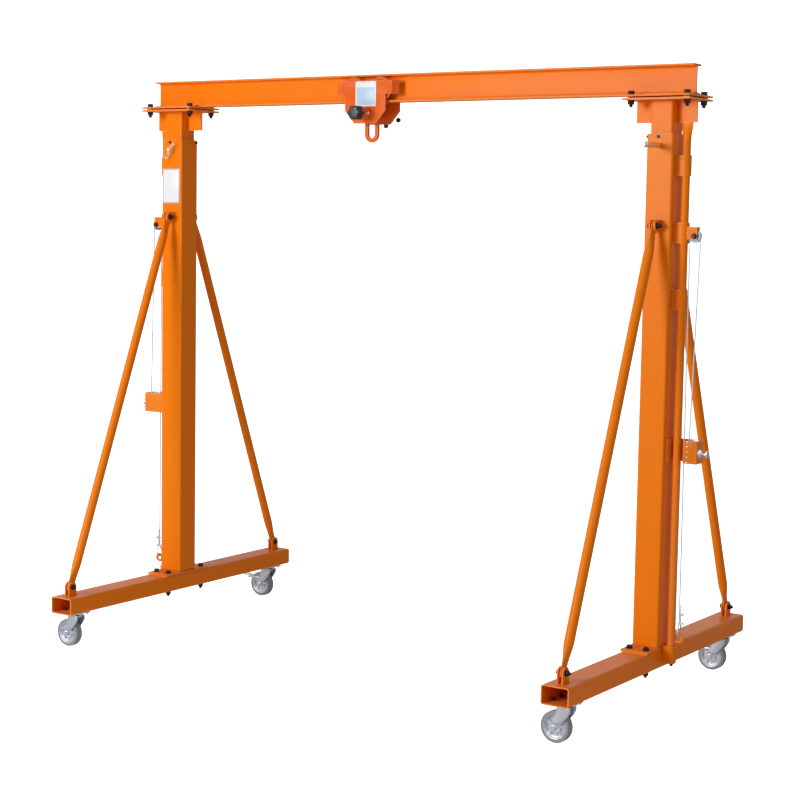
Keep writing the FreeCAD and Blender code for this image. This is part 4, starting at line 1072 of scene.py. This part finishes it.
near_boss = [(0.062, 0.0145), (0.062, 0.0290), (0.0634, 0.0300), (0.070, 0.0300), (0.0725, 0.0285),
             (0.104, 0.0270), (0.1085, 0.0262), (0.110, 0.0245), (0.110, 0.012)]
spacer = [(0.008, 0.014), (0.008, 0.0200), (0.009, 0.021), (0.053, 0.021), (0.054, 0.0200), (0.054, 0.014)]
shank = [(-0.110, 0.0140), (0.086, 0.0140), (0.088, 0.0120), (0.088, 0.008)]
rod_parts = ((near_boss, 40, TO_MINUS_Y), (spacer, 36, TO_MINUS_Y), (spacer, 36, TO_Y), (shank, 36, TO_Y))
rod = join([shift(smooth(turned("rod_part", steps, count), 35), TROLLEY_X, 0, ROD_Z, turn)
            for steps, count, turn in rod_parts], "trolley_rod")
finish(rod, TROLLEY, "trolley", ["trolley_cross_rod"])

PLATE_FACE = 0.062
ROD_NUT = (0.036, 0.015, 0.003)
AXLE_NUT = (0.022, 0.009, 0.002)
SIDE_NUT = (0.017, 0.008, 0.002)
nuts = [shift(hex_head(*size), TROLLEY_X + x, PLATE_FACE, z, TO_Y)
        for size, x, z in ((ROD_NUT, 0, ROD_Z), (AXLE_NUT, -WHEEL_APART, WHEEL_Z),
                           (AXLE_NUT, WHEEL_APART, WHEEL_Z), (SIDE_NUT, 0.100, 2.494), (SIDE_NUT, 0.032, 2.468))]
finish(join(nuts, "trolley_nuts"), BOLT, "trolley")

KNOB_LOW = 0.1105
knob = begin("circle", "lobed_knob", vertices=72, radius=0.0262, fill_type="NGON",
             location=(0, 0, KNOB_LOW))
seat(knob)
for step in range(6):
    height = cos(radians(15 * step))
    pick(knob, lambda vertex: abs(abs(cos(3 * atan2(vertex.co.y, vertex.co.x))) - height) < 0.02, "VERT")
    swell = 1 + 0.30 * height ** 0.7
    resize(swell, swell, 1, KNOB_LOW)
    shut()
pick_all()
resize(0.90, 0.90, 1, KNOB_LOW)
level = KNOB_LOW
for z, scale in ((0.1135, 1.11), (0.1170, 1.0), (0.1480, 0.985), (0.1530, 0.94), (0.1555, 0.85),
                 (0.1555, 0.55), (0.1530, 0.92)):
    push(z=z - level)
    resize(scale, scale, 1, z)
    level = z
shut()
smooth(outward(knob), 50)
finish(shift(knob, TROLLEY_X, 0, ROD_Z, TO_MINUS_Y), KNOB, "trolley", ["trolley_knob"])

split_points = [(-0.036, -0.091, 0.006), (-0.030, -0.090, 0.0), (0.0, -0.090, 0.0), (0.030, -0.090, 0.0),
                (0.040, -0.090, 0.004), (0.046, -0.090, 0.0), (0.040, -0.090, -0.005),
                (0.030, -0.0915, -0.0028)]
split_pin = shift(bent_bar("split_pin", split_points, 0.0019), TROLLEY_X, 0, ROD_Z)
finish(split_pin, CHROME, "trolley")

oblong = smooth(polished("load_link", 0.0022, 3), 35)
finish(oblong, TROLLEY, "load_link", ["load_link"])


# ---------------------------------------------------------------- bare labels

def label(name, x_low, x_high, z_low, z_high, y, border, head):
    """A bare plate with a plain field let into it."""
    plate = slab(name, (x_low, y - 0.0012, z_low), (x_high, y, z_high), 0.0004)
    field = slab(name + "_field", (x_low + border, y - 0.0016, z_low + border),
                 (x_high - border, y - 0.0010, z_high - head), 0.0002)
    return plate, field


plate, field = label("trolley_label", TROLLEY_X - 0.052, TROLLEY_X + 0.061, 2.551, 2.664, -PLATE_FACE, 0.007,
                     0.027)
finish(plate, WHITE, "trolley")
finish(field, BLUE, "trolley")
plate, field = label("column_label", -1.382, -1.273, 2.101, 2.271, -0.060, 0.006, 0.006)
finish(plate, SILVER, "frame")
finish(field, WHITE, "frame")


# ---------------------------------------------------------------- floor, light and camera

BACKDROP_GLOW = 1.2
bpy.ops.mesh.primitive_plane_add(size=60, location=(0, 0, 0))
floor = bpy.context.object
floor.name = "floor"
pale, pale_tree, pale_shader = new_material("pale_floor")
fill(pale_shader, Base_Color=(0.93, 0.93, 0.93, 1), Roughness=0.9, Emission_Color=(1, 1, 1, 1))
rays = add(pale_tree, "LightPath")
seen = maths(pale_tree, "MULTIPLY", rays.outputs["Is Camera Ray"], BACKDROP_GLOW)
link(pale_tree, seen, pale_shader.inputs["Emission Strength"])
floor.data.materials.append(pale)

world = bpy.data.worlds.new("soft_white")
bpy.context.scene.world = world
bpy.context.scene.view_settings.view_transform = "Standard"
world.use_nodes = True
world_tree = world.node_tree
backdrop = fill(world_tree.nodes["Background"], Color=(1, 1, 1, 1))
rays = add(world_tree, "LightPath")
sky = add(world_tree, "TexCoord")
height = add(world_tree, "SeparateXYZ")
link(world_tree, sky.outputs["Generated"], height.inputs[0])
overhead = span_of(world_tree, height.outputs["Z"], 0.25, 0.95)
sheen = maths(world_tree, "MULTIPLY", rays.outputs["Is Glossy Ray"], overhead)
lift = maths(world_tree, "MULTIPLY", rays.outputs["Is Camera Ray"], BACKDROP_GLOW)
glow = maths(world_tree, "ADD", maths(world_tree, "ADD", lift, sheen), 0.30)
link(world_tree, glow, backdrop.inputs["Strength"])


def soft_light(name, place, aim, size, power):
    lamp = bpy.data.lights.new(name, "AREA")
    lamp.size = size
    lamp.energy = power
    holder = bpy.data.objects.new(name, lamp)
    bpy.context.collection.objects.link(holder)
    holder.location = place
    run = [b - a for a, b in zip(place, aim)]
    flat = sqrt(run[0] ** 2 + run[1] ** 2)
    holder.rotation_euler = (pi / 2 + atan2(run[2], flat), 0, atan2(-run[0], run[1]))


soft_light("key", (-3.0, -8.5, 3.6), (0, 0, 1.3), 3.5, 500)
soft_light("fill", (6.5, -2.0, 3.0), (0, 0, 1.3), 4.0, 15)

AZIMUTH, PITCH, ROLL = radians(33.94), radians(5.776), radians(0.943)
viewer = bpy.data.cameras.new("viewer")
viewer.sensor_fit = "HORIZONTAL"
viewer.sensor_width = 36
viewer.lens = 81.75
viewer.clip_end = 200
camera = bpy.data.objects.new("viewer", viewer)
bpy.context.collection.objects.link(camera)
camera.location = (4.658, -6.902, 2.056)
camera.rotation_euler = (pi / 2 - PITCH, 0, AZIMUTH)
camera.rotation_euler.rotate_axis("Z", ROLL)
bpy.context.scene.camera = camera
